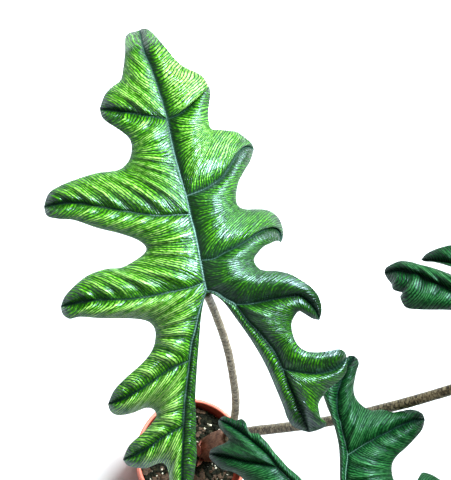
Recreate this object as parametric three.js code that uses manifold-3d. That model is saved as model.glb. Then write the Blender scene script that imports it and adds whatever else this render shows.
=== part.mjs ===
import * as THREE from 'three';
import { mergeVertices } from 'three/addons/utils/BufferGeometryUtils.js';
import Module from 'manifold-3d';

// Potted jacklyn alocasia: three lobed leaves on long stalks, rising from a crown in a 12 cm nursery pot.
// Millimetres, +Z up. The origin is the middle of the pot's flat base.

// Pot: thin plastic with a rolled rim, a collar under it and a flat floor with drainage holes.
const RIM_DIAMETER = 120;
const RIM_WIDTH = 3.6;
const RIM_HEIGHT = 4;
const POT_HEIGHT = 110;
const BASE_DIAMETER = 86;
const COLLAR_HEIGHT = 21;
const COLLAR_STEP = 2.6;
const POT_WALL = 1.6;
const POT_FLOOR = 2.4;
const BASE_ROUNDING = 2;
const DRAIN_COUNT = 6;
const DRAIN_DIAMETER = 9;
const DRAIN_CIRCLE = 30;

// Soil: level of its surface and the level that its edge may sink to, the surface's fall, the size of its crumbs.
const SOIL_LEVEL = 91.5;
const SOIL_LOW = 84;
const SOIL_FALL = 0.06;
const CRUMB_HEIGHT = 1.3;
const GAP = 0.3;

// Crown: the stem base and the sheath round the stalks, in a plain round hole in the soil.
// Each section of it is a height, a middle and two half widths.
const CROWN_AT = [22, 9];
const CROWN_BOTTOM = 76;
const CROWN_SECTIONS = [
  [76, 22, 9, 14.9, 14.9],
  [86, 22, 9, 14.9, 14.9],
  [87, 22, 9, 13, 13],
  [94, 22, 9, 12.9, 12.9],
  [104, 22, 9.3, 12, 12.8],
  [120, 22.1, 9.6, 10.6, 12.6],
  [133, 22.2, 9.8, 9.8, 12.4],
  [139, 22.3, 10, 9, 11.6],
  [150, 23.8, 12.6, 8, 9.6],
  [166, 24.8, 13.3, 7, 8.4],
];
const CROWN_SIDES = 20;
const HOLE_RADIUS = 15.2;
const BRACT_FOOT = 87.4;
const BRACT_THICKNESS = 1.2;

// Stalks: the path of each one's middle, its diameter at the foot and at the blade, and its bulge, which is
// what it gains in diameter above the neck that the sheath holds.
const STALKS = {
  petiole_a: {
    foot: 6.8,
    head: 3.8,
    bulge: 1.9,
    path: [[24, 16, 92], [24.5, 16.8, 125], [24, 17, 160], [20.5, 17.5, 198], [13.5, 21.5, 235],
      [4.5, 27, 273], [-7, 33, 312], [-32, 45, 387], [-58, 52.5, 455], [-76.1, 52, 503.8]],
  },
  petiole_b: {
    foot: 7.2,
    head: 5.2,
    bulge: 1.6,
    path: [[18, 4.5, 92], [18.5, 4, 130], [25, -3, 185], [33, -15, 222], [43, -33, 262], [54, -64, 322],
      [60.1, -89.5, 371.4]],
  },
  petiole_c: {
    foot: 8,
    head: 5.4,
    bulge: 2.2,
    path: [[25.5, 8, 92], [25, 8.5, 130], [26, 10, 185], [32, 9, 228], [45, 7, 262], [70.5, 4, 330],
      [104, 7.5, 398], [140, 16, 455], [167, 25, 500], [184.2, 31.7, 524.3]],
  },
};
const STALK_SIDES = 10;
const STALK_STEP = 13;
const NECK_LENGTH = 76;
const NECK_RISE = 45;

// The blades' outlines are plan views along SIGHT, as seen from EYE above the plant.
const EYE = new THREE.Vector3(-194, -114, 1015);
const SIGHT = new THREE.Vector3(0.23, 0.3621, -0.9033).normalize();
const ACROSS = new THREE.Vector3().crossVectors(SIGHT, new THREE.Vector3(0, 1, 0)).normalize();
const UPWARD = new THREE.Vector3().crossVectors(ACROSS, SIGHT);

// Blade sections: thickness of the flesh and of the veins, and rows from a vein to the edge.
const BLADE_THICKNESS = 1;
const VEIN_THICKNESS = 2.6;
const VEIN_SHARE = 0.09;
const BLADE_ROWS = [0, VEIN_SHARE, 0.45, 0.8, 1];
const SINUS_SHARE = 0.12;
const STEEPEST = 0.3;

// Blade relief: the sides fall away from the shoulders, the flesh swells between veins, and tips bend down.
const SHOULDER = 32;
const SHOULDER_ROUNDING = 7;
const SWELL_RATE = 0.34;
const SWELL_SKEW = 1.05;
const TIP_LENGTH = 28;
const TIP_DROP = 8;

// The arch fades in with distance from the stalk. The right side's two slopes blend between two places along
// the leaf, and the apex bends down as a beak between two more.
const FADE_LENGTH = 14;
const SLOPE_BLEND = [-10, 28];
const BEAK = [158, 172];
const BEAK_DROP = 16;

// Leaf A, in its own plan frame: x to the right and y along the leaf from the stalk's end to the apex.
// A lobe's rib starts at a point of a main vein, and its edge runs from its tip to the next lobe's tip.
const LEAF_A = {
  at: [-78.5, 52, 513],
  turn: 14.5,
  form: { front: [0.22, 0.0018], back: [0.15, 0.0012], left: [-0.06, 0.0005], right: [1, 0.004],
    backRight: [-0.25, 0.0012], quilt: 9 },
  veins: {
    midrib: [[0, 0], [0, 5], [1, 19], [2, 34.5], [2, 49], [2.5, 61], [2, 77], [2, 93.5], [3, 111.5],
      [2.5, 125.5], [1.5, 142.5], [-0.5, 157.5], [0, 170.5]],
    left: [[0, 0], [-7, -10.5], [-13, -22], [-18, -31], [-22, -41], [-27, -54], [-31.5, -66], [-36, -80],
      [-40, -93.5], [-44, -107], [-47.5, -120.5], [-50, -133.5]],
    right: [[0, 0], [5, -2.5], [10.5, -8.5], [15.5, -13.5], [20, -24.5], [26, -35.5], [32, -49], [34.5, -61],
      [36, -72], [38, -83], [39.5, -94], [40.5, -104]],
  },
  lobes: {
    apex: {
      vein: 'midrib',
      edge: [[-4, 170.5], [-7, 170.5], [-10, 168], [-12.5, 159.5], [-16, 150], [-19.5, 143], [-26, 140],
        [-32, 136]],
    },
    l1: {
      vein: 'midrib',
      root: 8,
      rib: [[-7, 116], [-19, 121.5], [-29, 125.5], [-37, 128.5]],
      edge: [[-37, 123.5], [-34.5, 119], [-28, 112], [-23.5, 105], [-24, 98], [-28, 91.5], [-35.5, 88],
        [-49, 89.5], [-61.5, 89], [-73.5, 87.5], [-82, 84.5]],
    },
    l2: {
      vein: 'midrib',
      root: 4,
      rib: [[-7, 51], [-17, 53], [-28.5, 57.5], [-41, 63], [-54, 69], [-66.5, 74.5], [-77, 76.5], [-87, 77]],
      edge: [[-86.5, 71], [-80.5, 67.5], [-70.5, 64], [-57.5, 55.5], [-44.5, 48.5], [-35, 42], [-31, 37],
        [-31.5, 33.5], [-37, 30.5], [-48.5, 27.5], [-58.5, 29], [-70.5, 28], [-81, 23.5], [-88.5, 18.5]],
    },
    l3: {
      vein: 'midrib',
      root: 1,
      rib: [[-9, 4], [-23, 4.5], [-35.5, 5], [-51, 7], [-65, 10.5], [-78.5, 12.5], [-92.5, 13]],
      edge: [[-92.5, 8], [-89, 4], [-82, 3.5], [-70, -0.5], [-51.5, -5.5], [-42, -9.5], [-38.5, -14.5],
        [-39, -20.5], [-43, -28], [-51, -34.5], [-63.5, -41], [-73, -47]],
    },
    l4: {
      vein: 'left',
      root: 4,
      rib: [[-31, -42], [-41, -45], [-51, -49], [-61, -52], [-70, -54], [-79, -54.5]],
      edge: [[-78.5, -59.5], [-74.5, -63], [-66, -64], [-56.5, -63], [-52, -65], [-51, -69], [-54.5, -73],
        [-62.5, -78], [-72.5, -83.5]],
    },
    l5: {
      vein: 'left',
      root: 7,
      rib: [[-47, -82.5], [-59, -87], [-69, -90], [-78.5, -91]],
      edge: [[-76.5, -95.5], [-71, -98.5], [-65, -100], [-57.5, -99], [-53.5, -100.5], [-52.5, -106],
        [-53.5, -113.5], [-54.5, -121.5], [-53, -129.5]],
    },
    left: {
      vein: 'left',
      edge: [[-45, -129], [-39.5, -117], [-34.5, -105.5], [-32, -98.5], [-30, -88], [-27.5, -79.5],
        [-24.5, -66], [-18.5, -47], [-13, -31], [-8, -16.5], [-4, -7.5], [-1.5, -3]],
    },
    notch: {
      vein: 'midrib',
      root: 0,
      rib: [[0, -2]],
      edge: [[3.5, -4], [8.5, -10.5], [13.5, -22.5], [19.5, -38.5], [24, -54.5], [26.5, -69.5], [28.5, -84],
        [29, -91], [31, -97], [36, -101.5]],
    },
    right: {
      vein: 'right',
      edge: [[45.5, -104], [51, -103], [52.5, -100.5], [50, -97], [50, -91.5], [51, -87.5], [55, -83.5],
        [61, -79.5], [66, -77.5], [71.5, -74], [74.5, -69]],
    },
    r5: {
      vein: 'right',
      root: 7,
      rib: [[44, -65.5], [54, -69], [64.5, -69.5], [71, -67], [75.5, -64]],
      edge: [[75, -60], [72, -57.5], [67, -57], [58.5, -56], [51, -53], [47, -47.5], [46, -40], [47, -34],
        [50, -30], [53.5, -28], [57, -31], [60.5, -34.5]],
    },
    r4: {
      vein: 'right',
      root: 3,
      rib: [[24.5, -15.5], [35, -16], [45.5, -16.5], [55, -17.5], [60.5, -23], [63.5, -29.5], [64.5, -36.5]],
      edge: [[67.5, -31], [68, -23.5], [66, -17], [61.5, -11], [54.5, -4], [47.5, 0], [37.5, 3.5], [34.5, 7],
        [34, 11], [36.5, 14], [42, 17.5], [47, 18.5], [50.5, 19]],
    },
    r3: {
      vein: 'midrib',
      root: 2,
      rib: [[8.5, 18], [16.5, 20], [24, 21.5], [33, 24.5], [42.5, 28], [50.5, 28.5], [54, 24], [53.5, 17.5]],
      edge: [[56, 22], [56.5, 29.5], [54, 36], [48, 40.5], [37, 43.5], [33, 46.5], [32.5, 51], [34, 55.5],
        [37, 61.5], [41.5, 66.5], [47.5, 72.5]],
    },
    r2: {
      vein: 'midrib',
      root: 5,
      rib: [[13, 62], [21, 64], [27.5, 67], [35.5, 74.5], [42.5, 81], [47.5, 82], [51.5, 79]],
      edge: [[51, 83], [48, 87.5], [43.5, 92.5], [35, 96], [29, 98], [28, 101.5], [29, 108.5], [31.5, 115],
        [33.5, 120]],
    },
    r1: {
      vein: 'midrib',
      root: 8,
      rib: [[10.5, 112.5], [17, 115.5], [22, 121], [28, 126], [34, 124.5]],
      edge: [[33, 127.5], [31.5, 132], [27, 136.5], [21.5, 141], [17.5, 146.5], [13.5, 155], [9.5, 163.5],
        [6.5, 168.5], [4.5, 170.5], [2, 171]],
    },
  },
};

// The front of leaves B and C follows leaf A's broad left half, mirrored for the other side.
const mirror = (points) => points.map(([x, y]) => [-x, y]);
const mirrorEdge = (points) => mirror(points).reverse();
const scale = (points, by) => points.map(([x, y]) => [x * by, y * by]);

// Leaf B hangs lower, in front of the pot.
const B_SIZE = 1.04;
const LEAF_B = {
  at: [61.5, -94, 379.5],
  turn: -157.6,
  form: { front: [0.2, 0.0018], back: [0.12, 0.001], left: [0.2, 0.0008], right: [0.33, 0.001],
    backRight: [0.33, 0.001], quilt: 8 },
  veins: {
    midrib: scale([[0, 0], [0, 5], [0, 19], [0, 34.5], [0, 49], [0.5, 61], [1, 77], [1, 93.5], [1, 111.5],
      [0.5, 125.5], [0, 142.5], [0, 157.5], [0, 170.5]], B_SIZE),
    left: [[0, 0], [-5, -12.5], [-10, -25.5], [-15, -38], [-20.5, -50], [-26, -60], [-28, -71.5],
      [-30, -83.5], [-32, -95], [-36, -104], [-42, -112.5], [-49.5, -120.5], [-59.5, -126.5]],
    right: [[0, 0], [6, -17], [12, -36], [18, -51.5], [23, -63], [26.5, -71.5], [28.5, -80.5], [32, -88],
      [36.5, -97], [41.5, -105.5], [47, -113.5], [53.5, -121.5]],
  },
  lobes: {
    apex: { vein: 'midrib', edge: scale(LEAF_A.lobes.apex.edge, B_SIZE) },
    l1: {
      vein: 'midrib',
      root: 8,
      rib: scale(LEAF_A.lobes.l1.rib, B_SIZE),
      edge: scale(LEAF_A.lobes.l1.edge, B_SIZE),
    },
    l2: {
      vein: 'midrib',
      root: 4,
      rib: scale(LEAF_A.lobes.l2.rib, B_SIZE),
      edge: [[-89, 73], [-83.5, 69.5], [-73, 66.5], [-59.5, 57.5], [-46, 50], [-36.5, 43], [-32.5, 37.5],
        [-33, 32], [-38.5, 26.5], [-50, 21.5], [-62, 18], [-75, 13], [-86.5, 6.5], [-92.5, 1]],
    },
    l3: {
      vein: 'midrib',
      root: 1,
      rib: [[-11.5, 3.5], [-23.5, 3], [-36, 1], [-47, -1], [-59, -4], [-71.5, -6], [-83, -6.5], [-94, -4.5]],
      edge: [[-90, -10.5], [-84, -15.5], [-79.5, -21.5], [-74, -26], [-71, -25.5], [-66.5, -20.5],
        [-58.5, -20],
        [-53, -23.5], [-51, -30], [-52.5, -37], [-55.5, -42], [-61, -45.5], [-69.5, -48.5], [-78.5, -52.5],
        [-85.5, -56.5]],
    },
    l4: {
      vein: 'left',
      root: 5,
      rib: [[-37, -62], [-47.5, -63.5], [-59, -64.5], [-71, -65.5], [-81.5, -65], [-90, -62.5]],
      edge: [[-90, -67], [-87, -71], [-82, -74], [-75, -75.5], [-69, -77], [-63.5, -81.5], [-55, -84.5],
        [-50, -91], [-48, -98], [-49.5, -105], [-53.5, -111.5], [-57, -116.5], [-60, -120], [-60.5, -123.5]],
    },
    left: {
      vein: 'left',
      edge: [[-56.5, -128.5], [-53, -128], [-44, -125], [-34.5, -119.5], [-27, -112], [-25.5, -100.5],
        [-25.5, -92.5], [-24.5, -81], [-22.5, -69.5], [-18.5, -57.5], [-13.5, -45], [-8.5, -30.5], [-4, -16],
        [-1.5, -6.5]],
    },
    notch: {
      vein: 'midrib',
      root: 0,
      rib: [[0, -2.5]],
      edge: [[2, -13.5], [6, -31], [13, -56], [19, -68.5], [22, -77], [24.5, -84], [26, -90.5], [28, -95.5],
        [30, -100.5], [35, -103], [36, -107], [35.5, -111.5], [37.5, -115.5], [41.5, -116], [44.5, -119],
        [49, -122.5]],
    },
    right: {
      vein: 'right',
      edge: [[55, -119], [55, -114], [53, -108.5], [52.5, -105], [56, -103.5], [62.5, -103.5], [67.5, -103]],
    },
    r5: {
      vein: 'right',
      root: 5,
      rib: [[32.5, -75.5], [40, -80.5], [48, -85.5], [55, -91.5], [62.5, -96.5], [70, -100.5]],
      edge: [[71, -97.5], [69.5, -93.5], [67.5, -89], [64.5, -85], [59.5, -81.5], [56, -77.5], [53.5, -72.5],
        [53, -66.5], [56.5, -61.5], [64.5, -59], [71, -58.5]],
    },
    r4: {
      vein: 'right',
      root: 2,
      rib: [[25, -40.5], [38, -45], [51, -49], [63, -52.5], [75, -55.5]],
      edge: [[75, -50], [67, -42.5], [52, -35], [43.5, -28], [39.5, -21], [39.5, -14], [43.5, -9.5],
        [52.5, -5], [72.5, 0], [84.5, 4], [92, 5], [95.5, 8.5]],
    },
    r3: {
      vein: 'midrib',
      root: 2,
      rib: mirror(scale(LEAF_A.lobes.l3.rib, B_SIZE)),
      edge: mirrorEdge(scale(LEAF_A.lobes.l2.edge, B_SIZE)),
    },
    r2: {
      vein: 'midrib',
      root: 5,
      rib: mirror(scale(LEAF_A.lobes.l2.rib, B_SIZE)),
      edge: mirrorEdge(scale(LEAF_A.lobes.l1.edge, B_SIZE)),
    },
    r1: {
      vein: 'midrib',
      root: 8,
      rib: mirror(scale(LEAF_A.lobes.l1.rib, B_SIZE)),
      edge: mirrorEdge(scale(LEAF_A.lobes.apex.edge, B_SIZE)),
    },
  },
};

// Leaf C points away to the right. Its right half folds down as leaf A's does.
const LEAF_C = {
  at: [189.5, 33.5, 535],
  turn: -84.6,
  form: { front: [0.3, 0.0016], back: [0.15, 0.0012], left: [0.25, 0.0008], right: [1, 0.004],
    backRight: [0.6, 0.003], quilt: 8 },
  veins: {
    ...LEAF_A.veins,
    left: [[0, 0], [-6.5, -16.5], [-12.5, -33], [-19.5, -49], [-26, -63.5], [-32, -78.5], [-37.5, -90],
      [-42.5, -100], [-49.5, -111], [-55.5, -122.5], [-57.5, -132], [-56.5, -141]],
  },
  lobes: {
    ...LEAF_A.lobes,
    l3: {
      ...LEAF_A.lobes.l3,
      edge: [[-92.5, 8], [-89, 4], [-82, 3.5], [-70, -0.5], [-51.5, -5.5], [-40, -9.5], [-35, -15],
        [-35, -21], [-41, -28], [-51, -34.5], [-65, -41], [-77, -47]],
    },
    l4: {
      vein: 'left',
      root: 2,
      rib: [[-26, -37.5], [-40, -43], [-55, -49.5], [-70, -54], [-84, -56]],
      edge: [[-82, -62], [-75, -65], [-66, -66], [-57, -66], [-54, -70], [-57, -76], [-64, -82], [-69, -88],
        [-71, -94], [-70.5, -99], [-69, -106], [-66.5, -112]],
    },
    l5: {
      vein: 'left',
      root: 4,
      rib: [[-38, -71], [-49, -80], [-58, -94], [-63, -115.5]],
      edge: [[-61.5, -113], [-60.5, -107], [-58, -100], [-55, -93], [-51.5, -87.5], [-49, -86.5],
        [-48.5, -90],
        [-51.5, -96.5], [-54.5, -102.5], [-57.5, -109.5], [-60, -116.5], [-62.5, -123], [-63.5, -130],
        [-61.5, -136.5], [-59.5, -140]],
    },
    left: {
      vein: 'left',
      edge: [[-52.5, -139.5], [-48.5, -137], [-45, -136.5], [-43, -133], [-42, -130], [-39.5, -132],
        [-35.5, -131], [-32, -129], [-30.5, -125.5], [-29, -116], [-27.5, -101.5], [-24.5, -82.5],
        [-19.5, -62.5], [-12, -39.5], [-3.5, -15.5]],
    },
  },
};

// Solids: a closed mesh with shared corners, booleans, and back.
const wasm = await Module();
wasm.setup();

function closed(geometry) {
  const copy = geometry.clone();
  copy.deleteAttribute('normal');
  copy.deleteAttribute('uv');
  return mergeVertices(copy, 1e-3);
}

function toSolid(geometry) {
  const mesh = closed(geometry);
  return new wasm.Manifold(new wasm.Mesh({
    numProp: 3,
    vertProperties: new Float32Array(mesh.attributes.position.array),
    triVerts: new Uint32Array(mesh.index.array),
  }));
}

function toGeometry(solid) {
  const mesh = solid.getMesh();
  const geometry = new THREE.BufferGeometry();
  geometry.setAttribute('position', new THREE.BufferAttribute(mesh.vertProperties, 3));
  geometry.setIndex(new THREE.BufferAttribute(mesh.triVerts, 1));
  return geometry;
}

function part(name, geometry, colour, roughness) {
  geometry.computeVertexNormals();
  const material = new THREE.MeshStandardMaterial({ color: colour, roughness, metalness: 0 });
  const mesh = new THREE.Mesh(geometry, material);
  mesh.name = name;
  return mesh;
}

// A turned solid: profile points are radius and height, and the axis is +Z.
function turned(profile, sides) {
  const points = profile.map(([radius, height]) => new THREE.Vector2(radius, height));
  const geometry = new THREE.LatheGeometry(points, sides);
  geometry.rotateX(Math.PI / 2);
  return geometry;
}

function cylinder(radius, bottom, top, sides) {
  return turned([[0, bottom], [radius, bottom], [radius, top], [0, top]], sides);
}

// Radius of the pot's body outside, at a height.
function bodyRadius(height) {
  const collarFoot = POT_HEIGHT - COLLAR_HEIGHT;
  const foot = BASE_DIAMETER / 2;
  const shoulder = RIM_DIAMETER / 2 - RIM_WIDTH + POT_WALL - COLLAR_STEP;
  return foot + (shoulder - foot) * Math.min(height / collarFoot, 1);
}

function collarRadius(height) {
  const top = RIM_DIAMETER / 2 - RIM_WIDTH + POT_WALL;
  return top - (POT_HEIGHT - height) * 0.03;
}

function makePot() {
  const rim = RIM_DIAMETER / 2;
  const mouth = rim - RIM_WIDTH;
  const collarFoot = POT_HEIGHT - COLLAR_HEIGHT;
  const rimFoot = POT_HEIGHT - RIM_HEIGHT;
  const profile = [
    [0, 0],
    [bodyRadius(0) - BASE_ROUNDING, 0],
    [bodyRadius(0), BASE_ROUNDING],
    [bodyRadius(collarFoot), collarFoot],
    [collarRadius(collarFoot + 1), collarFoot + 1],
    [collarRadius(rimFoot), rimFoot],
    [rim - 0.6, rimFoot],
    [rim, rimFoot + 1],
    [rim, POT_HEIGHT - 1.2],
    [rim - 1, POT_HEIGHT - 0.2],
    [rim - 1.6, POT_HEIGHT],
    [mouth + 1, POT_HEIGHT],
    [mouth + 0.2, POT_HEIGHT - 0.6],
    [mouth, POT_HEIGHT - 1.6],
    [collarRadius(collarFoot + 2) - POT_WALL, collarFoot + 2],
    [bodyRadius(collarFoot) - POT_WALL, collarFoot - 1],
    [bodyRadius(POT_FLOOR) - POT_WALL, POT_FLOOR],
    [0, POT_FLOOR],
  ];
  let pot = toSolid(turned(profile, 64));
  for (let i = 0; i < DRAIN_COUNT; i += 1) {
    const angle = (i / DRAIN_COUNT) * 2 * Math.PI;
    const hole = cylinder(DRAIN_DIAMETER / 2, -1, POT_FLOOR + 1, 16);
    hole.translate(DRAIN_CIRCLE * Math.cos(angle), DRAIN_CIRCLE * Math.sin(angle), 0);
    pot = pot.subtract(toSolid(hole));
  }
  return toGeometry(pot);
}

// Height of the soil's surface: it falls to the front right, with crumbs as crossed waves.
function soilHeight(x, y) {
  const waves = Math.sin(x * 0.31 + 1.3 * Math.sin(y * 0.17)) * Math.cos(y * 0.37 + Math.sin(x * 0.23));
  const clods = 0.6 * Math.sin(x * 0.83 + y * 0.41) * Math.sin(y * 0.77 - x * 0.35);
  return SOIL_LEVEL + SOIL_FALL * (y - x) + CRUMB_HEIGHT * (waves + clods);
}

function makeSoil(hole) {
  const collarFoot = POT_HEIGHT - COLLAR_HEIGHT;
  const rings = 11;
  const surface = [];
  const edgeRadius = bodyRadius(SOIL_LOW) - POT_WALL - GAP;
  for (let i = 0; i <= rings; i += 1) {
    surface.push([edgeRadius * (1 - i / rings), POT_HEIGHT]);
  }
  const foot = POT_FLOOR + GAP;
  const shoulder = collarFoot - 10;
  const profile = [
    [0, foot],
    [bodyRadius(foot) - POT_WALL - GAP, foot],
    [bodyRadius(shoulder) - POT_WALL - GAP, shoulder],
    ...surface,
  ];
  const geometry = turned(profile, 40);
  const position = geometry.attributes.position;
  for (let i = 0; i < position.count; i += 1) {
    if (position.getZ(i) === POT_HEIGHT) {
      position.setZ(i, soilHeight(position.getX(i), position.getY(i)));
    }
  }
  return toGeometry(toSolid(geometry).subtract(toSolid(hole)));
}

// A closed skin over rings of corners, each ring above the one before it.
function skinRings(rings) {
  const sides = rings[0].length;
  const faces = [];
  const last = (rings.length - 1) * sides;
  for (let start = 0; start < last; start += sides) {
    for (let k = 0; k < sides; k += 1) {
      const [a, b] = [start + k, start + ((k + 1) % sides)];
      faces.push(a, b, b + sides, a, b + sides, a + sides);
    }
  }
  for (let k = 1; k < sides - 1; k += 1) {
    faces.push(0, k + 1, k, last, last + k, last + k + 1);
  }
  const geometry = new THREE.BufferGeometry();
  geometry.setAttribute('position', new THREE.Float32BufferAttribute(rings.flat(2), 3));
  geometry.setIndex(faces);
  return geometry;
}

const turnOf = (k, sides) => (k / sides) * 2 * Math.PI;
const countTo = (count) => [...Array(count).keys()];

// A tube of many sides along a smooth curve. Its diameter goes evenly from the foot to the head, and the
// bulge is added above the neck.
function makeStalk({ path, foot, head, bulge }, extra = 0) {
  const curve = new THREE.CatmullRomCurve3(path.map((p) => new THREE.Vector3(...p)), false, 'centripetal');
  const length = curve.getLength();
  const steps = Math.round(length / STALK_STEP);
  const centres = curve.getSpacedPoints(steps);
  const frames = curve.computeFrenetFrames(steps, false);
  centres[0].addScaledVector(frames.tangents[0], -extra);
  return skinRings(centres.map((centre, i) => {
    const aboveNeck = THREE.MathUtils.clamp(((i / steps) * length - NECK_LENGTH) / NECK_RISE, 0, 1);
    const radius = (foot + (head - foot) * (i / steps) + bulge * aboveNeck) / 2 + extra;
    return countTo(STALK_SIDES).map((k) => {
      const corner = centre.clone();
      corner.addScaledVector(frames.normals[i], radius * Math.cos(turnOf(k, STALK_SIDES)));
      corner.addScaledVector(frames.binormals[i], radius * Math.sin(turnOf(k, STALK_SIDES)));
      return corner.toArray();
    });
  }));
}

function makeCrown(sockets) {
  const geometry = skinRings(CROWN_SECTIONS.map(([height, x, y, wide, deep]) => (
    countTo(CROWN_SIDES).map((k) => {
      const angle = turnOf(k, CROWN_SIDES);
      return [x + wide * Math.cos(angle), y + deep * Math.sin(angle), height];
    }))));
  let crown = toSolid(geometry);
  sockets.forEach((socket) => {
    crown = crown.subtract(toSolid(socket));
  });
  return toGeometry(crown);
}

// A bract is a slice of a cone-like sheet round the crown. It tapers to a point that leans outwards.
function makeBract({ angle, span, top, lean, radius }) {
  const rows = 6;
  const columns = 6;
  const positions = [];
  const faces = [];
  for (const outward of [0, BRACT_THICKNESS]) {
    for (let i = 0; i <= rows; i += 1) {
      const up = i / rows;
      const half = (span / 2) * Math.sqrt(1 - up * up * 0.985);
      for (let k = 0; k <= columns; k += 1) {
        const around = angle + half * ((2 * k) / columns - 1);
        const r = radius + lean * up ** 4 + outward;
        positions.push(CROWN_AT[0] + r * Math.cos(around), CROWN_AT[1] + r * Math.sin(around),
          BRACT_FOOT + (top - BRACT_FOOT) * up);
      }
    }
  }
  const layer = (rows + 1) * (columns + 1);
  const id = (side, i, k) => side * layer + i * (columns + 1) + k;
  const quad = (a, b, c, d) => faces.push(a, b, c, a, c, d);
  for (let i = 0; i < rows; i += 1) {
    for (let k = 0; k < columns; k += 1) {
      quad(id(1, i, k), id(1, i, k + 1), id(1, i + 1, k + 1), id(1, i + 1, k));
      quad(id(0, i, k + 1), id(0, i, k), id(0, i + 1, k), id(0, i + 1, k + 1));
    }
    quad(id(0, i, 0), id(1, i, 0), id(1, i + 1, 0), id(0, i + 1, 0));
    quad(id(1, i, columns), id(0, i, columns), id(0, i + 1, columns), id(1, i + 1, columns));
  }
  for (let k = 0; k < columns; k += 1) {
    quad(id(0, 0, k), id(0, 0, k + 1), id(1, 0, k + 1), id(1, 0, k));
    quad(id(1, rows, k), id(1, rows, k + 1), id(0, rows, k + 1), id(0, rows, k));
  }
  const geometry = new THREE.BufferGeometry();
  geometry.setAttribute('position', new THREE.Float32BufferAttribute(positions, 3));
  geometry.setIndex(faces);
  return geometry;
}

// The way from the stalk's end to a lobe's tip: along the main vein to the root, then along the rib.
function route(leaf, lobe) {
  const vein = leaf.veins[lobe.vein];
  return lobe.rib ? [...vein.slice(0, lobe.root + 1), ...lobe.rib] : vein;
}

const samePoint = (a, b) => a && b && a[0] === b[0] && a[1] === b[1];

// One sector lies between two neighbouring tips. Its inner line runs down one rib, along the main vein
// and up the next rib, and its outer line is the blade's edge between the two tips.
function sectorLines(leaf, lobe, next) {
  const [one, two] = [route(leaf, lobe), route(leaf, next)];
  let fork = 0;
  while (samePoint(one[fork + 1], two[fork + 1])) {
    fork += 1;
  }
  const inner = [...one.slice(fork).reverse(), ...two.slice(fork + 1)];
  const ownOne = one.length - 1 - Math.max(fork, lobe.rib ? lobe.root : 0);
  const ownTwo = two.length - 1 - Math.max(fork, next.rib ? next.root : 0);
  return { inner, ownOne, ownTwo, outer: [one[one.length - 1], ...lobe.edge, two[two.length - 1]] };
}

function runs(points) {
  const total = [0];
  for (let i = 1; i < points.length; i += 1) {
    total.push(total[i - 1] + Math.hypot(points[i][0] - points[i - 1][0], points[i][1] - points[i - 1][1]));
  }
  return total;
}

// Each lobe's route ends at a tip, but for the notch's, which ends at the stalk.
const isTip = (lobe) => lobe.root !== 0;

// Share of the edge at which it comes nearest to the middle of the main vein between the two roots.
function sinusShare(curve, inner, ownOne, ownTwo) {
  const from = inner[ownOne];
  const to = inner[inner.length - 1 - ownTwo];
  const middle = new THREE.Vector2((from[0] + to[0]) / 2, (from[1] + to[1]) / 2);
  let best = 0;
  let nearest = Infinity;
  for (let i = 1; i < 100; i += 1) {
    const away = curve.getPointAt(i / 100).distanceTo(middle);
    if (away < nearest) {
      nearest = away;
      best = i / 100;
    }
  }
  return best;
}

// A fall that starts softly at the shoulder beside the midrib.
function sideFall(u) {
  const bend = (at) => SHOULDER_ROUNDING * Math.log1p(Math.exp((at - SHOULDER) / SHOULDER_ROUNDING));
  return bend(u) - bend(0);
}

// Height over the plan: the blade arches down to its apex, back lobes and sides. The right side has a slope
// of its own behind the stalk.
function droop(form, x, y) {
  const along = y > 0 ? form.front : form.back;
  const front = THREE.MathUtils.smoothstep(y, ...SLOPE_BLEND);
  const right = [0, 1].map((k) => THREE.MathUtils.lerp(form.backRight[k], form.right[k], front));
  const aside = x > 0 ? right : form.left;
  const [v, u] = [Math.abs(y), Math.abs(x)];
  const arch = along[0] * v + along[1] * v * v + aside[0] * sideFall(u) + aside[1] * u * u;
  const softened = arch * (1 - Math.exp(-(u + v / 2) / FADE_LENGTH));
  const beak = BEAK_DROP * THREE.MathUtils.smoothstep(y, ...BEAK);
  return -softened - beak;
}

function bladeSector(leaf, lobe, next) {
  const { inner, ownOne, ownTwo, outer } = sectorLines(leaf, lobe, next);
  const edge = new THREE.SplineCurve(outer.map(([x, y]) => new THREE.Vector2(x, y)));
  const run = runs(inner);
  const length = run[run.length - 1];
  const shares = run.map((at) => at / length);
  const sinus = sinusShare(edge, inner, ownOne, ownTwo);
  const stops = [shares[ownOne], shares[inner.length - 1 - ownTwo]];
  const marks = [sinus * (1 - SINUS_SHARE), sinus + (1 - sinus) * SINUS_SHARE];
  return inner.map(([x, y], i) => {
    const s = shares[i];
    let along;
    if (i <= ownOne) {
      along = (s / stops[0]) * marks[0];
    } else if (i < inner.length - 1 - ownTwo) {
      along = marks[0] + ((s - stops[0]) / (stops[1] - stops[0])) * (marks[1] - marks[0]);
    } else {
      along = marks[1] + ((s - stops[1]) / (1 - stops[1])) * (1 - marks[1]);
    }
    const rim = edge.getPointAt(THREE.MathUtils.clamp(along, 0, 1));
    const reach = Math.hypot(rim.x - x, rim.y - y);
    const crest = leaf.form.quilt * (1 - Math.exp((-SWELL_RATE * reach) / leaf.form.quilt));
    const toTip = length * Math.min(isTip(lobe) ? s : 1, isTip(next) ? 1 - s : 1);
    const tipDrop = TIP_DROP * Math.max(0, 1 - toTip / TIP_LENGTH) ** 2;
    return BLADE_ROWS.map((w) => {
      const [px, py] = [x + (rim.x - x) * w, y + (rim.y - y) * w];
      const h = droop(leaf.form, px, py) + crest * Math.sin(Math.PI * w ** SWELL_SKEW) - tipDrop;
      const thick = w < VEIN_SHARE ? VEIN_THICKNESS : BLADE_THICKNESS;
      return { x: px, y: py, h, thick };
    });
  });
}

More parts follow.
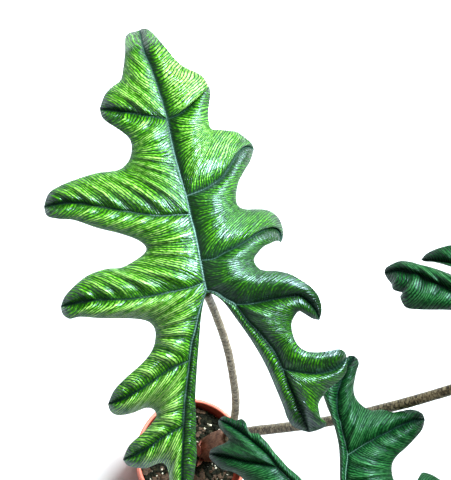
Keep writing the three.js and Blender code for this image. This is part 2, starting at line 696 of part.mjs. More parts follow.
// A plan point at a height goes to its place along the line of sight through it.
function place(leaf, { x, y }, h) {
  const turn = THREE.MathUtils.degToRad(leaf.turn);
  const side = ACROSS.clone().multiplyScalar(Math.cos(turn)).addScaledVector(UPWARD, Math.sin(turn));
  const tip = ACROSS.clone().multiplyScalar(-Math.sin(turn)).addScaledVector(UPWARD, Math.cos(turn));
  const offset = new THREE.Vector3(...leaf.at).sub(EYE);
  const depth = offset.dot(SIGHT);
  offset.addScaledVector(side, x).addScaledVector(tip, y);
  return EYE.clone().addScaledVector(offset, 1 - h / depth);
}

function makeBlade(leaf) {
  const lobes = Object.values(leaf.lobes);
  const top = [];
  const faces = [];
  const points = [];
  const wall = [];
  lobes.forEach((lobe, n) => {
    const grid = bladeSector(leaf, lobe, lobes[(n + 1) % lobes.length]);
    const start = points.length;
    const rows = BLADE_ROWS.length;
    grid.forEach((line) => points.push(...line));
    for (let i = 0; i < grid.length - 1; i += 1) {
      for (let k = 0; k < rows - 1; k += 1) {
        const a = start + i * rows + k;
        faces.push([a, a + rows + 1, a + rows], [a, a + 1, a + rows + 1]);
      }
      const rim = start + i * rows + rows - 1;
      wall.push([rim, rim + rows]);
    }
  });
  points.forEach((point) => top.push(place(leaf, point, point.h)));
  const flat = new THREE.BufferGeometry();
  flat.setAttribute('position', new THREE.Float32BufferAttribute(top.flatMap((p) => [p.x, p.y, p.z]), 3));
  flat.setIndex(faces.flat());
  const merged = mergeVertices(flat, 1e-3);
  merged.computeVertexNormals();
  const slope = new Map();
  const key = (x, y, z) => [x, y, z].map((value) => value.toFixed(2)).join(' ');
  for (let i = 0; i < merged.attributes.position.count; i += 1) {
    const p = new THREE.Vector3().fromBufferAttribute(merged.attributes.position, i);
    const n = new THREE.Vector3().fromBufferAttribute(merged.attributes.normal, i);
    slope.set(key(p.x, p.y, p.z), Math.max(Math.abs(n.dot(SIGHT)), STEEPEST));
  }
  const bottom = points.map((point, i) => {
    const [x, y, z] = [top[i].x, top[i].y, top[i].z].map(Math.fround);
    return place(leaf, point, point.h - point.thick / slope.get(key(x, y, z)));
  });
  const count = points.length;
  const index = [];
  faces.forEach(([a, b, c]) => index.push(a, b, c, a + count, c + count, b + count));
  wall.forEach(([a, b]) => index.push(a, a + count, b + count, a, b + count, b));
  const geometry = new THREE.BufferGeometry();
  const corners = [...top, ...bottom].flatMap((p) => [p.x, p.y, p.z]);
  geometry.setAttribute('position', new THREE.Float32BufferAttribute(corners, 3));
  geometry.setIndex(index);
  return closed(geometry);
}

const GREEN_BRIGHT = 0x4c9a2a;
const GREEN_DARK = 0x1f5a35;
const STALK_BROWN = 0x8a7b62;
const TERRACOTTA = 0xd9856f;

const plant = new THREE.Group();
plant.add(part('pot', makePot(), TERRACOTTA, 0.55));
const hole = cylinder(HOLE_RADIUS, CROWN_BOTTOM - GAP, POT_HEIGHT, 24);
hole.translate(CROWN_AT[0], CROWN_AT[1], 0);
plant.add(part('soil', makeSoil(hole), 0x2a221a, 0.95));

const sockets = [];
Object.entries(STALKS).forEach(([name, stalk]) => {
  plant.add(part(name, makeStalk(stalk), STALK_BROWN, 0.6));
  sockets.push(makeStalk(stalk, GAP));
});
plant.add(part('crown', makeCrown(sockets), 0x5c4a33, 0.8));
plant.add(part('cataphyll_1', makeBract({
  angle: 3.15, span: 1.2, top: 126, lean: 4, radius: 13.4,
}), 0xc98d7c, 0.7));
plant.add(part('cataphyll_2', makeBract({
  angle: 4.05, span: 0.35, top: 104, lean: 11, radius: 13.4,
}), 0xb78b7d, 0.7));
plant.add(part('blade_a', makeBlade(LEAF_A), GREEN_BRIGHT, 0.45));
plant.add(part('blade_b', makeBlade(LEAF_B), GREEN_DARK, 0.45));
plant.add(part('blade_c', makeBlade(LEAF_C), GREEN_DARK, 0.45));

export default plant;
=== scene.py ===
"""A potted alocasia: nursery pot, potting mix, sheathed crown, mottled stalks and three lobed leaves."""

import bpy
import numpy as np
from mathutils import Matrix, Vector


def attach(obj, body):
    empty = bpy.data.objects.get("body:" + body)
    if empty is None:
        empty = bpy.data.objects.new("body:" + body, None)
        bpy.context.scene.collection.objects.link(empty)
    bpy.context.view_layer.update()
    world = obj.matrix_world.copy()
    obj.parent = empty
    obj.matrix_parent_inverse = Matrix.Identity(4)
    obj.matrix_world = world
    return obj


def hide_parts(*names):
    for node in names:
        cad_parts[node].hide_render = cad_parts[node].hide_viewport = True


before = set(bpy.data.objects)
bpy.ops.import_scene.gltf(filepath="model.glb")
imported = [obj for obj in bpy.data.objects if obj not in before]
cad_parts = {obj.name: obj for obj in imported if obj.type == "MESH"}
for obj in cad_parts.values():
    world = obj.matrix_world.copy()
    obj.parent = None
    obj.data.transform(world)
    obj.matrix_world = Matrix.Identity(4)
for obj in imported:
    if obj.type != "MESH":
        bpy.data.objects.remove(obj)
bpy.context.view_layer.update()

# Pot.
# A thin injection-moulded nursery pot of terracotta-coloured plastic: a rolled rim, a straight collar, a
# tapering body and a flat floor with drainage holes round its edge. It is one moulding.

POT_HEIGHT = 110.0
RIM_RADIUS = 60.0
RIM_WIDTH = 3.6
RIM_DEPTH = 4.0
COLLAR_DEPTH = 21.0
BODY_TOP_RADIUS = 55.4
BODY_FOOT_RADIUS = 43.0
WALL = 1.6
FLOOR_THICKNESS = 2.4
FOOT_ROUNDING = 2.0
DRAIN_RADIUS = 4.5
DRAIN_CIRCLE = 30.0
DRAIN_COUNT = 6
POT_SEGMENTS = 192
SIDE_STEPS = 12


def mesh_object(name, points, faces, loose_uv=None, sharp=50):
    """Makes a mesh from points in mm and triangles or quads. Equal corners become one, and faces that
    shrink to a line or a point are dropped. loose_uv gives each named UV map one pair per point before
    corners are joined."""
    points = np.asarray(points, float).reshape(-1, 3)
    faces = np.asarray(faces, np.int64)
    if faces.shape[1] == 4:
        faces = np.concatenate([faces[:, [0, 1, 2]], faces[:, [0, 2, 3]]])
    _, first, joined = np.unique(np.round(points, 3), axis=0, return_index=True, return_inverse=True)
    corners = joined.reshape(-1)[faces]
    whole = (np.diff(corners[:, [0, 1, 2, 0]], axis=1) != 0).all(axis=1)
    faces, corners = faces[whole], corners[whole]
    mesh = bpy.data.meshes.new(name)
    mesh.vertices.add(len(first))
    mesh.vertices.foreach_set("co", (points[first] / 1000).astype(np.float32).ravel())
    mesh.loops.add(corners.size)
    mesh.loops.foreach_set("vertex_index", corners.astype(np.int32).ravel())
    mesh.polygons.add(len(corners))
    mesh.polygons.foreach_set("loop_start", np.arange(0, corners.size, 3, dtype=np.int32))
    mesh.update(calc_edges=True)
    for uv_name, pairs in (loose_uv or {}).items():
        layer = mesh.uv_layers.new(name=uv_name)
        layer.data.foreach_set("uv", np.asarray(pairs, np.float32)[faces.ravel()].ravel())
    mesh.validate()
    mesh.shade_smooth()
    mesh.set_sharp_from_angle(angle=np.radians(sharp))
    obj = bpy.data.objects.new(name, mesh)
    bpy.context.scene.collection.objects.link(obj)
    return obj


def grid_faces(rows, columns, start=0):
    """Quads between neighbouring rows and columns of a grid that is stored row by row."""
    a = (np.arange(rows - 1)[:, None] * columns + np.arange(columns - 1)).ravel() + start
    return np.stack([a, a + 1, a + columns + 1, a + columns], axis=1)


def full_circle(segments):
    """Angles from 0 to 2 pi, where the last is 0 again so that the seam closes."""
    return np.append(np.arange(segments) * (2 * np.pi / segments), 0)


def turned_surface(profile, segments):
    """Each profile point of radius r and height z goes round the axis to (r cos a, r sin a, z), a from 0 to
    2 pi. With the profile running up the outside, faces point outwards."""
    angle = full_circle(segments)
    radius, height = np.asarray(profile, float).T[:, :, None]
    points = np.stack([radius * np.cos(angle), radius * np.sin(angle), height + 0 * angle], axis=-1)
    return points.reshape(-1, 3), grid_faces(len(profile), segments + 1)


def rounded_profile(corners, steps=6):
    """Each corner (r, z, radius) becomes a quadratic arc between the points that lie radius before and
    after."""
    corners = np.asarray(corners, float)
    at = corners[:, :2]
    line = [at[:1]]
    share = np.linspace(0, 1, steps)[:, None]
    for before, here, after, radius in zip(at[:-2], at[1:-1], at[2:], corners[1:-1, 2]):
        start = here + (before - here) * radius / np.linalg.norm(before - here)
        end = here + (after - here) * radius / np.linalg.norm(after - here)
        line.append((1 - share) ** 2 * start + 2 * share * (1 - share) * here + share ** 2 * end)
    line.append(at[-1:])
    return np.concatenate(line)


def floor_sector():
    """One hole's sector of the floor, as its border and the hole's ring. The border runs out along one
    side, round the foot in the pot's own segments and back along the other side. A ring point faces each of
    its points."""
    half = np.pi / DRAIN_COUNT
    foot = np.linspace(-half, half, POT_SEGMENTS // DRAIN_COUNT + 1)
    out = np.arange(SIDE_STEPS) / SIDE_STEPS
    radius = (BODY_FOOT_RADIUS - FOOT_ROUNDING) * np.concatenate([out, np.ones(len(foot)), out[::-1]])
    angle = np.concatenate([0 * out - half, foot, 0 * out + half])
    border = np.stack([radius * np.cos(angle), radius * np.sin(angle)], axis=-1)
    outward = border - (DRAIN_CIRCLE, 0)
    ring = (DRAIN_CIRCLE, 0) + DRAIN_RADIUS * outward / np.linalg.norm(outward, axis=1, keepdims=True)
    return border, ring


def round_each_hole(plan, height):
    """A grid of plan points at a height, turned about the pot's axis once for each hole."""
    turn = np.arange(DRAIN_COUNT)[:, None, None] * 2 * np.pi / DRAIN_COUNT
    x, y = plan[..., 0], plan[..., 1]
    points = np.stack([x * np.cos(turn) - y * np.sin(turn), x * np.sin(turn) + y * np.cos(turn),
                       height + 0 * x + 0 * turn], axis=-1)
    faces = np.concatenate([grid_faces(*x.shape, start=i * x.size) for i in range(DRAIN_COUNT)])
    return points.reshape(-1, 3), faces


def pierced_floor(height, turned_over):
    """A disc with round holes. Round each hole the surface is the straight way between its border and
    ring."""
    border, ring = floor_sector()
    share = np.linspace(0, 1, 5)[:, None, None]
    points, faces = round_each_hole(border + (ring - border) * share, height)
    return points, faces[:, ::-1] if turned_over else faces


def drain_walls():
    """Round each drainage hole, the wall from the floor's top down to its underside."""
    ring = floor_sector()[1]
    height = np.array([FLOOR_THICKNESS, 0])[:, None]
    return round_each_hole(np.stack([ring, ring]), height)


# The profile runs from the floor's underside up the outside, over the rim and down inside to the floor's
# top. Each corner is a radius, a height and a rounding.
collar_foot = POT_HEIGHT - COLLAR_DEPTH
rim_foot = POT_HEIGHT - RIM_DEPTH
mouth = RIM_RADIUS - RIM_WIDTH
collar_radius = mouth + WALL
outside = rounded_profile([
    (BODY_FOOT_RADIUS - FOOT_ROUNDING, 0, 0), (BODY_FOOT_RADIUS, 0.1, 1.6),
    (BODY_TOP_RADIUS, collar_foot, 0.5), (collar_radius - 0.7, collar_foot + 0.4, 0.6),
    (collar_radius - 0.1, rim_foot, 0.5), (RIM_RADIUS, rim_foot, 0.8), (RIM_RADIUS, POT_HEIGHT, 1.6),
    (mouth, POT_HEIGHT, 1.5), (mouth - 0.4, collar_foot + 2.5, 1),
    (BODY_TOP_RADIUS - WALL, collar_foot - 0.5, 1), (BODY_FOOT_RADIUS - WALL, FLOOR_THICKNESS, 0),
    (BODY_FOOT_RADIUS - FOOT_ROUNDING, FLOOR_THICKNESS, 0)])
pot_points, pot_faces = turned_surface(outside, POT_SEGMENTS)
for more_points, more_faces in (pierced_floor(FLOOR_THICKNESS, False), pierced_floor(0, True), drain_walls()):
    pot_faces = np.concatenate([pot_faces, more_faces + len(pot_points)])
    pot_points = np.concatenate([pot_points, more_points])
pot = mesh_object("nursery_pot", pot_points, pot_faces, sharp=40)


def add_node(tree, kind, inputs=None, **settings):
    """Adds one shader node. inputs gives a value or another node's socket for each input, by name or
    number."""
    node = tree.nodes.new("ShaderNode" + kind)
    for key, value in settings.items():
        setattr(node, key, value)
    for key, value in (inputs or {}).items():
        if isinstance(value, bpy.types.NodeSocket):
            tree.links.new(value, node.inputs[key])
        else:
            node.inputs[key].default_value = value
    return node


def new_finish(name, roughness, **values):
    """A material with a shader and an output. Returns it, its tree, its shader and its Object
    coordinates."""
    material = bpy.data.materials.new(name)
    material.use_nodes = True
    tree = material.node_tree
    tree.nodes.clear()
    shader = add_node(tree, "BsdfPrincipled", {"Roughness": roughness, **values})
    output = add_node(tree, "OutputMaterial")
    tree.links.new(shader.outputs[0], output.inputs[0])
    return material, tree, shader, add_node(tree, "TexCoord").outputs["Object"]


def coat(tree, shader, colour, normal):
    """Joins a colour and a normal to the shader."""
    tree.links.new(colour, shader.inputs["Base Color"])
    tree.links.new(normal, shader.inputs["Normal"])


def rgb(red, green, blue):
    """A colour read off a screen, 0 to 255, as the linear colour that a shader takes."""
    value = np.array([red, green, blue]) / 255
    return (*np.where(value <= 0.04045, value / 12.92, ((value + 0.055) / 1.055) ** 2.4), 1.0)


def ramp(tree, factor, *stops):
    """A colour ramp of (position, colour) stops along factor. Returns its colour socket."""
    node = add_node(tree, "ValToRGB", {0: factor})
    elements = node.color_ramp.elements
    while len(elements) < len(stops):
        elements.new(0.5)
    for element, (position, colour) in zip(elements, stops):
        element.position = position
        element.color = colour
    return node.outputs[0]


def mix(tree, factor, first, second):
    """The first colour where factor is 0 and the second where it is 1."""
    return add_node(tree, "Mix", {0: factor, 6: first, 7: second}, data_type="RGBA").outputs[2]


def math_node(tree, operation, *values):
    """One arithmetic node. Returns its value socket."""
    return add_node(tree, "Math", dict(enumerate(values)), operation=operation).outputs[0]


def noise(tree, vector, scale, detail=3.0, roughness=0.5, squeeze=None):
    """Noise along vector, which squeeze multiplies first. Returns its value socket."""
    if squeeze:
        vector = add_node(tree, "Mapping", {0: vector, "Scale": squeeze}).outputs[0]
    inputs = {"Vector": vector, "Scale": scale, "Detail": detail, "Roughness": roughness}
    return add_node(tree, "TexNoise", inputs).outputs[0]


def bump(tree, height, distance, **normal):
    """Bump of a real height in metres. Returns its normal socket."""
    inputs = {"Height": height, "Distance": distance, "Strength": 1.0, **normal}
    return add_node(tree, "Bump", inputs).outputs[0]


# Moulded polypropylene: an even salmon red, a little chalky and scuffed, with a fine mould grain. Inside,
# between the mix and the rim, the wall is painted a darker red as painted shade.
SHADE_BELOW = (POT_HEIGHT - 2.5) / 1000
SHADE_ABOVE = (collar_foot - 2.5) / 1000
SHADE_INSIDE = (mouth + 0.3) / 1000
pot_plastic, tree, shader, place = new_finish("pot_plastic", 0.48)
scuffs = noise(tree, place, 90, 6, 0.65)
dry = ramp(tree, scuffs, (0.3, rgb(214, 106, 84)), (0.62, rgb(232, 126, 102)), (0.8, rgb(240, 152, 128)))
flat_place = add_node(tree, "VectorMath", {0: place, 1: (1, 1, 0)}, operation="MULTIPLY").outputs[0]
off_axis = add_node(tree, "VectorMath", {0: flat_place}, operation="LENGTH").outputs["Value"]
height = add_node(tree, "SeparateXYZ", {0: place}).outputs[2]
# Painted shade: the inner wall between the mix and the rim is painted a darker red.
painted_shade = math_node(tree, "MULTIPLY", math_node(tree, "LESS_THAN", height, SHADE_BELOW),
                  math_node(tree, "LESS_THAN", off_axis, SHADE_INSIDE))
painted_shade = math_node(tree, "MULTIPLY", painted_shade, math_node(tree, "GREATER_THAN", height, SHADE_ABOVE))
coat(tree, shader, mix(tree, painted_shade, dry, rgb(150, 62, 42)), bump(tree, noise(tree, place, 1400, 2), 0.00006))
pot.data.materials.append(pot_plastic)
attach(pot, "root")
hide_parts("pot")

# Potting mix.
# Dark, moist potting mix of peat and bark with white perlite. Its surface lies about 2 cm below the rim and
# is higher at the back left, where it was pressed up against the plant.

SOIL_LEVEL = 91.5
SOIL_FALL = 0.06
SOIL_RADIUS = 53.5
SOIL_RINGS = 90
SOIL_SEGMENTS = 240
CRUMB_HEIGHT = 1.3
WAVE_COUNT = 60
WAVE_LENGTHS = (2.0, 7.0)
WAVE_STEEPNESS = 0.035
SKIRT_TOP = 80.0
SKIRT_GAP = 0.3
CROWN_AT = (22.0, 9.0)


def soil_height(x, y):
    """Level, less a slight fall to the front right, plus long crossed waves and shorter, lower ones."""
    waves = np.sin(x * 0.31 + 1.3 * np.sin(y * 0.17)) * np.cos(y * 0.37 + np.sin(x * 0.23))
    clods = 0.6 * np.sin(x * 0.83 + y * 0.41) * np.sin(y * 0.77 - x * 0.35)
    return SOIL_LEVEL + SOIL_FALL * (y - x) + CRUMB_HEIGHT * (waves + clods)


def soil_surface():
    """A disc of rings. Its height is soil_height plus sine waves of random direction. At the wall it turns
    down into a skirt, which goes to the pot's floor and closes underneath."""
    dice = np.random.default_rng(7)
    angle = full_circle(SOIL_SEGMENTS)
    radius = SOIL_RADIUS * np.linspace(0, 1, SOIL_RINGS)[:, None]
    x = radius * np.cos(angle)
    y = radius * np.sin(angle)
    z = soil_height(x, y)
    headings = dice.uniform(0, np.pi, WAVE_COUNT)
    lengths = dice.uniform(*WAVE_LENGTHS, WAVE_COUNT)
    for heading, length, phase in zip(headings, lengths, dice.uniform(0, 6.3, WAVE_COUNT)):
        along = x * np.cos(heading) + y * np.sin(heading)
        z = z + WAVE_STEEPNESS * length * np.sin(2 * np.pi * along / length + phase)
    floor = FLOOR_THICKNESS + SKIRT_GAP
    skirt_radius = np.array([SOIL_RADIUS - 1.3, BODY_FOOT_RADIUS - WALL - SKIRT_GAP, 0])[:, None]
    skirt_height = np.array([SKIRT_TOP, floor, floor])[:, None]
    skirt = np.stack([skirt_radius * np.cos(angle), skirt_radius * np.sin(angle),
                      skirt_height + 0 * angle], axis=-1)
    points = np.concatenate([np.stack([x, y, z], axis=-1), skirt])
    return points.reshape(-1, 3), grid_faces(*points.shape[:2])[:, ::-1]


def crumbs(count, size, flatness, seed, unevenness=0.3, keep_clear=15.0, rows=5, sides=7):
    """Lumps lying on the soil. One lump is a ball of a few rows and sides whose radius varies at random; it
    is stretched, turned about a random axis and set down at a random place, half sunk."""
    dice = np.random.default_rng(seed)
    tilt = np.linspace(0, np.pi, rows)[:, None]
    around = np.linspace(0, 2 * np.pi, sides + 1)
    ball = np.stack([np.sin(tilt) * np.cos(around), np.sin(tilt) * np.sin(around),
                     np.cos(tilt) + 0 * around], axis=-1)
    rough = 1 + unevenness * dice.uniform(-1, 1, (count, rows, sides + 1, 1))
    rough[:, :, -1] = rough[:, :, 0]
    rough[:, 0] = rough[:, 0, :1]
    rough[:, -1] = rough[:, -1, :1]
    scale = dice.uniform(*size, (count, 1)) / 2 * np.stack(
        [dice.uniform(*stretch, count) for stretch in ((0.8, 1.5), (0.6, 1.0), flatness)], axis=1)
    turn, lean = dice.uniform(0, 2 * np.pi, count), dice.normal(0, 0.5, count)
    spot = np.sqrt(dice.uniform(0, 1, count)) * (SOIL_RADIUS - 2)
    way = dice.uniform(0, 2 * np.pi, count)
    x, y = spot * np.cos(way), spot * np.sin(way)
    clear = np.hypot(x - CROWN_AT[0], y - CROWN_AT[1]) > keep_clear
    cos_t, sin_t, cos_l, sin_l = np.cos(turn), np.sin(turn), np.cos(lean), np.sin(lean)
    turned = np.stack([np.stack([cos_t * cos_l, -sin_t, cos_t * sin_l], -1),
                       np.stack([sin_t * cos_l, cos_t, sin_t * sin_l], -1),
                       np.stack([-sin_l, 0 * lean, cos_l], -1)], axis=1)
    lumps = np.einsum("nij,nabj->nabi", turned, ball * rough * scale[:, None, None])
    lumps += np.stack([x, y, soil_height(x, y) + 0.35 * scale[:, 2]], axis=-1)[:, None, None]
    lumps = lumps[clear]
    faces = grid_faces(rows, sides + 1)[:, ::-1] + (np.arange(len(lumps)) * rows * (sides + 1))[:, None, None]
    return lumps.reshape(-1, 3), faces.reshape(-1, 4)


soil = mesh_object("potting_mix", *soil_surface(), sharp=80)
peat = mesh_object("peat_crumbs", *crumbs(1500, (1.2, 4.2), (0.4, 0.9), seed=11), sharp=35)
bark = mesh_object("bark_bits", *crumbs(170, (4, 9), (0.2, 0.4), seed=12, unevenness=0.22), sharp=30)
grains = crumbs(75, (1.6, 3.6), (0.7, 1.0), seed=13, unevenness=0.25, rows=6, sides=8)
perlite = mesh_object("perlite_grains", *grains, sharp=60)

# Peat is nearly black and matt. Bark is a dark red-brown with a grain, and perlite is chalk white to cream.
peat_finish, tree, shader, place = new_finish("moist_peat", 0.9, **{"Specular IOR Level": 0.25})
coat(tree, shader,
     ramp(tree, noise(tree, place, 260, 8, 0.7), (0.3, rgb(8, 14, 8)), (0.5, rgb(24, 28, 16)),
          (0.68, rgb(56, 54, 34)), (0.8, rgb(120, 108, 78))),
     bump(tree, noise(tree, place, 700, 6, 0.75), 0.0012))
bark_finish, tree, shader, place = new_finish("wet_bark", 0.75)
grain = noise(tree, place, 300, 5, 0.6, squeeze=(1, 4, 4))
coat(tree, shader,
     ramp(tree, grain, (0.3, rgb(34, 24, 16)), (0.55, rgb(78, 56, 36)), (0.75, rgb(124, 98, 68))),
     bump(tree, grain, 0.0006))
perlite_finish, tree, shader, place = new_finish("perlite", 0.85)
pits = noise(tree, place, 900, 4, 0.6)
coat(tree, shader, ramp(tree, pits, (0.35, rgb(178, 168, 132)), (0.6, rgb(245, 240, 220))),
     bump(tree, pits, 0.0004))
for piece, finish in ((soil, peat_finish), (peat, peat_finish), (bark, bark_finish),
                      (perlite, perlite_finish)):
    piece.data.materials.append(finish)
    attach(piece, "root")
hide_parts("soil")

# Crown and its sheath.
# The short stem in the soil. Each stalk widens at its foot into a papery sheath, and the sheaths wrap round
# the ones inside them. They are dry and brown, with thin pink margins where the newest one overlaps.

# Each section of the crown is a height, a middle and two half widths.
CROWN_SECTIONS = [
    (86, 22, 9, 14.6, 14.6), (89, 22, 9, 13.6, 13.6), (94, 22, 9, 12.9, 12.9), (104, 22, 9.3, 12, 12.8),
    (120, 22.1, 9.6, 10.6, 12.6), (133, 22.2, 9.8, 9.8, 12.4), (139, 22.3, 10, 9, 11.6),
    (150, 23.8, 12.6, 8, 9.6), (165, 24.8, 13.3, 7, 8.4),
]
SHEATH_LAP = 1.1
SHEATH_SUNK = 0.5
SHEATH_THICKNESS = 0.8
SHEATH_EDGE = 2.2


def smooth_line(points, steps):
    """A Catmull-Rom curve through the points, in equal steps of its parameter on each span, ends
    doubled."""
    points = np.asarray(points, float)
    padded = np.concatenate([points[:1], points, points[-1:]])
    t = np.arange(steps)[:, None] / steps
    spans = [0.5 * (2 * b + (c - a) * t + (2 * a - 5 * b + 4 * c - d) * t ** 2
                    + (3 * b - a - 3 * c + d) * t ** 3)
             for a, b, c, d in zip(padded[:-3], padded[1:-2], padded[2:-1], padded[3:])]
    return np.concatenate(spans + [points[-1:]])


def closed_sheet(outer, inner):
    """An outer skin, an inner skin on the same grid that faces the other way, and walls along the four
    edges."""
    rows, columns = outer.shape[:2]
    ids = np.arange(2 * rows * columns).reshape(2, rows, columns)
    edges = ((ids[0, -1], ids[1, -1]), (ids[1, 0], ids[0, 0]), (ids[0, :, 0], ids[1, :, 0]),
             (ids[1, :, -1], ids[0, :, -1]))
    walls = [np.stack([a[:-1], a[1:], b[1:], b[:-1]], axis=1) for a, b in edges]
    skin = grid_faces(rows, columns)
    faces = np.concatenate([skin, skin[:, ::-1] + rows * columns, *walls])
    return np.concatenate([outer, inner]).reshape(-1, 3), faces


def sheath_wrap():
    """An ellipse at each height, from the sections, with a skin that laps over itself: the radius shrinks
    by the lap over one turn, and low ribs run up it. The free edge rises a little towards the top."""
    height, x, y, wide, deep = smooth_line(CROWN_SECTIONS, 8).T[:, :, None]
    turn = np.linspace(-0.08, 1, 150)
    angle = 2 * np.pi * turn + SHEATH_EDGE
    ribs = 0.14 * np.sin(angle * 23 + 0.6 * np.sin(height * 0.09)) + 0.1 * np.sin(angle * 41 + height * 0.05)
    step = SHEATH_LAP * (1 - turn) - SHEATH_SUNK + ribs
    rise = 1.5 * turn * np.clip((height - 110) / 30, 0, 1)
    return closed_sheet(*[np.stack([x + (wide + step - inset) * np.cos(angle),
                                    y + (deep + step - inset) * np.sin(angle), height + rise], axis=-1)
                          for inset in (0, SHEATH_THICKNESS)])


sheath = mesh_object("leaf_sheath", *sheath_wrap(), sharp=50)
crown_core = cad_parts["crown"]


def weighted_sum(tree, start, *terms):
    """start plus each term's value times its weight. Returns its value socket."""
    total = start
    for value, weight in terms:
        total = math_node(tree, "MULTIPLY_ADD", value, weight, total)
    return total


sheath_finish, tree, shader, place = new_finish("dry_sheath", 0.62)
fibres = noise(tree, place, 900, 5, 0.6, squeeze=(1, 1, 0.08))
stains = noise(tree, place, 70, 4, 0.6)
coat(tree, shader,
     ramp(tree, weighted_sum(tree, 0.0, (fibres, 0.45), (stains, 0.6)), (0.32, rgb(66, 42, 30)),
          (0.5, rgb(122, 84, 62)), (0.66, rgb(176, 128, 102)), (0.8, rgb(222, 166, 144))),
     bump(tree, fibres, 0.0005))
sheath.data.materials.append(sheath_finish)
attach(sheath, "root")
crown_core.data.materials.clear()
crown_core.data.materials.append(sheath_finish)

# Cataphylls.
# Thin scale leaves that wrapped the growing point: a short pink one that ends in a point and leans off the
# crown, and a narrow dried strap below it.


def scale_leaf(angle, span, top, lean, foot=87.4, radius=13.5, thickness=0.5):
    """At height share v the sheet spans a part of a circle round the crown, span times the root of 1 - 0.99
    v squared. The circle's radius grows by lean times v to the fourth. The sheet is creased along its
    middle, and its edges curl in."""
    up = np.linspace(0, 1, 40)[:, None]
    across = np.linspace(-1, 1, 17)
    around = angle + span / 2 * np.sqrt(1 - 0.99 * up ** 2) * across
    skins = []
    for outward in (thickness, 0):
        r = radius + lean * up ** 4 + outward + 0.7 * up * (1 - np.abs(across)) - 0.5 * up * across ** 2
        skins.append(np.stack([CROWN_AT[0] + r * np.cos(around), CROWN_AT[1] + r * np.sin(around),
                               foot + (top - foot) * up + 0 * across], axis=-1))
    return closed_sheet(*skins)


cataphyll_finish, tree, shader, place = new_finish("pink_cataphyll", 0.5)
streaks = noise(tree, place, 500, 5, 0.6, squeeze=(1, 1, 0.15))
coat(tree, shader,
     ramp(tree, streaks, (0.3, rgb(132, 62, 48)), (0.5, rgb(196, 116, 96)), (0.7, rgb(226, 168, 148))),
     bump(tree, streaks, 0.0003))
for name, node, shape in (("pink_scale_leaf", "cataphyll_1", (3.15, 1.2, 126, 4.0)),
                          ("dry_strap", "cataphyll_2", (4.05, 0.35, 104, 11.0))):
    piece = mesh_object(name, *scale_leaf(*shape), sharp=60)
    piece.data.materials.append(cataphyll_finish)
    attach(piece, "root")
    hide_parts(node)

# Stalks.
# Fleshy round leaf stalks, thickest at the foot. Their skin is beige-grey with dark brown blotches that run
# across the stalk like a snake's. Each one comes out of the sheath and ends under the middle of its blade.

# Each stalk has its diameters at foot and head and its bulge above the neck, and the path of its middle.
NECK_LENGTH = 76.0
NECK_RISE = 45.0
STALKS = {
    "petiole_a": ((6.8, 3.8, 1.9), [
        (24, 16, 92), (24.5, 16.8, 125), (24, 17, 160), (20.5, 17.5, 198), (13.5, 21.5, 235), (4.5, 27, 273),
        (-7, 33, 312), (-32, 45, 387), (-58, 52.5, 455), (-77, 52, 506.1)]),
    "petiole_b": ((7.2, 5.2, 1.6), [
        (18, 4.5, 92), (18.5, 4, 130), (25, -3, 185), (33, -15, 222), (43, -33, 262), (54, -64, 322),
        (60.8, -92.1, 376.5)]),
    "petiole_c": ((8.0, 5.4, 2.2), [
        (25.5, 8, 92), (25, 8.5, 130), (26, 10, 185), (32, 9, 228), (45, 7, 262), (70.5, 4, 330),
        (104, 7.5, 398), (140, 16, 455), (167, 25, 500), (187.6, 33, 529.1)]),
}
END_ROUNDING = 0.4


def run_length(points):
    """Length along a line of points, from its start to each point."""
    return np.concatenate([[0], np.cumsum(np.linalg.norm(np.diff(points, axis=0), axis=-1))])


def stalk_surface(path, foot, head, bulge, sides=28):
    """A circle carried along a smooth path. Its diameter goes evenly from foot to head, with low swellings,
    and the bulge is added above the neck that the sheath holds. The circle's axes are the tangent's cross
    products with a fixed direction. Both ends are closed."""
    centre = smooth_line(path, 24)
    tangent = np.gradient(centre, axis=0)
    tangent /= np.linalg.norm(tangent, axis=1, keepdims=True)
    side = np.cross(tangent, (0.0, 1.0, 0.0))
    side /= np.linalg.norm(side, axis=1, keepdims=True)
    front = np.cross(tangent, side)
    length = run_length(centre)
    angle = full_circle(sides)
    above_neck = np.clip((length - NECK_LENGTH) / NECK_RISE, 0, 1)
    diameter = foot + (head - foot) * length / length[-1] + bulge * above_neck
    radius = diameter / 2 - 0.06 + 0.05 * np.sin(length * 0.21)
    radius[[0, -1]] -= END_ROUNDING
    ring = side[:, None] * np.cos(angle)[:, None] + front[:, None] * np.sin(angle)[:, None]
    points = centre[:, None] + ring * radius[:, None, None]
    points = np.concatenate([centre[:1, None] + 0 * points[:1], points, centre[-1:, None] + 0 * points[-1:]])
    u = np.concatenate([length[:1], length, length[-1:]])[:, None] / 100 + 0 * angle
    v = np.linspace(0, 1, sides + 1) + 0 * u
    return points.reshape(-1, 3), grid_faces(*u.shape), np.stack([u, v], axis=-1).reshape(-1, 2)


def stalk_skin(name, dark, brown, beige, pale):
    """Skin crossed by drawn-out blotches: noise stretched across the stalk, with fine specks over it."""
    material, tree, shader, place = new_finish(name, 0.5)
    along = add_node(tree, "UVMap", uv_map="along").outputs[0]
    bands = add_node(tree, "Mapping", {0: along, "Scale": (26, 3.2, 1)}).outputs[0]
    blotch = add_node(tree, "TexNoise", {"Vector": bands, "Scale": 1.7, "Detail": 4.0, "Roughness": 0.6,
                                         "Distortion": 0.8}).outputs[0]
    tone = weighted_sum(tree, 0.0, (noise(tree, place, 900, 4, 0.7), 0.25), (blotch, 0.75))
    coat(tree, shader, ramp(tree, tone, (0.4, dark), (0.47, brown), (0.52, beige), (0.64, pale)),
         bump(tree, tone, 0.0002))
    return material


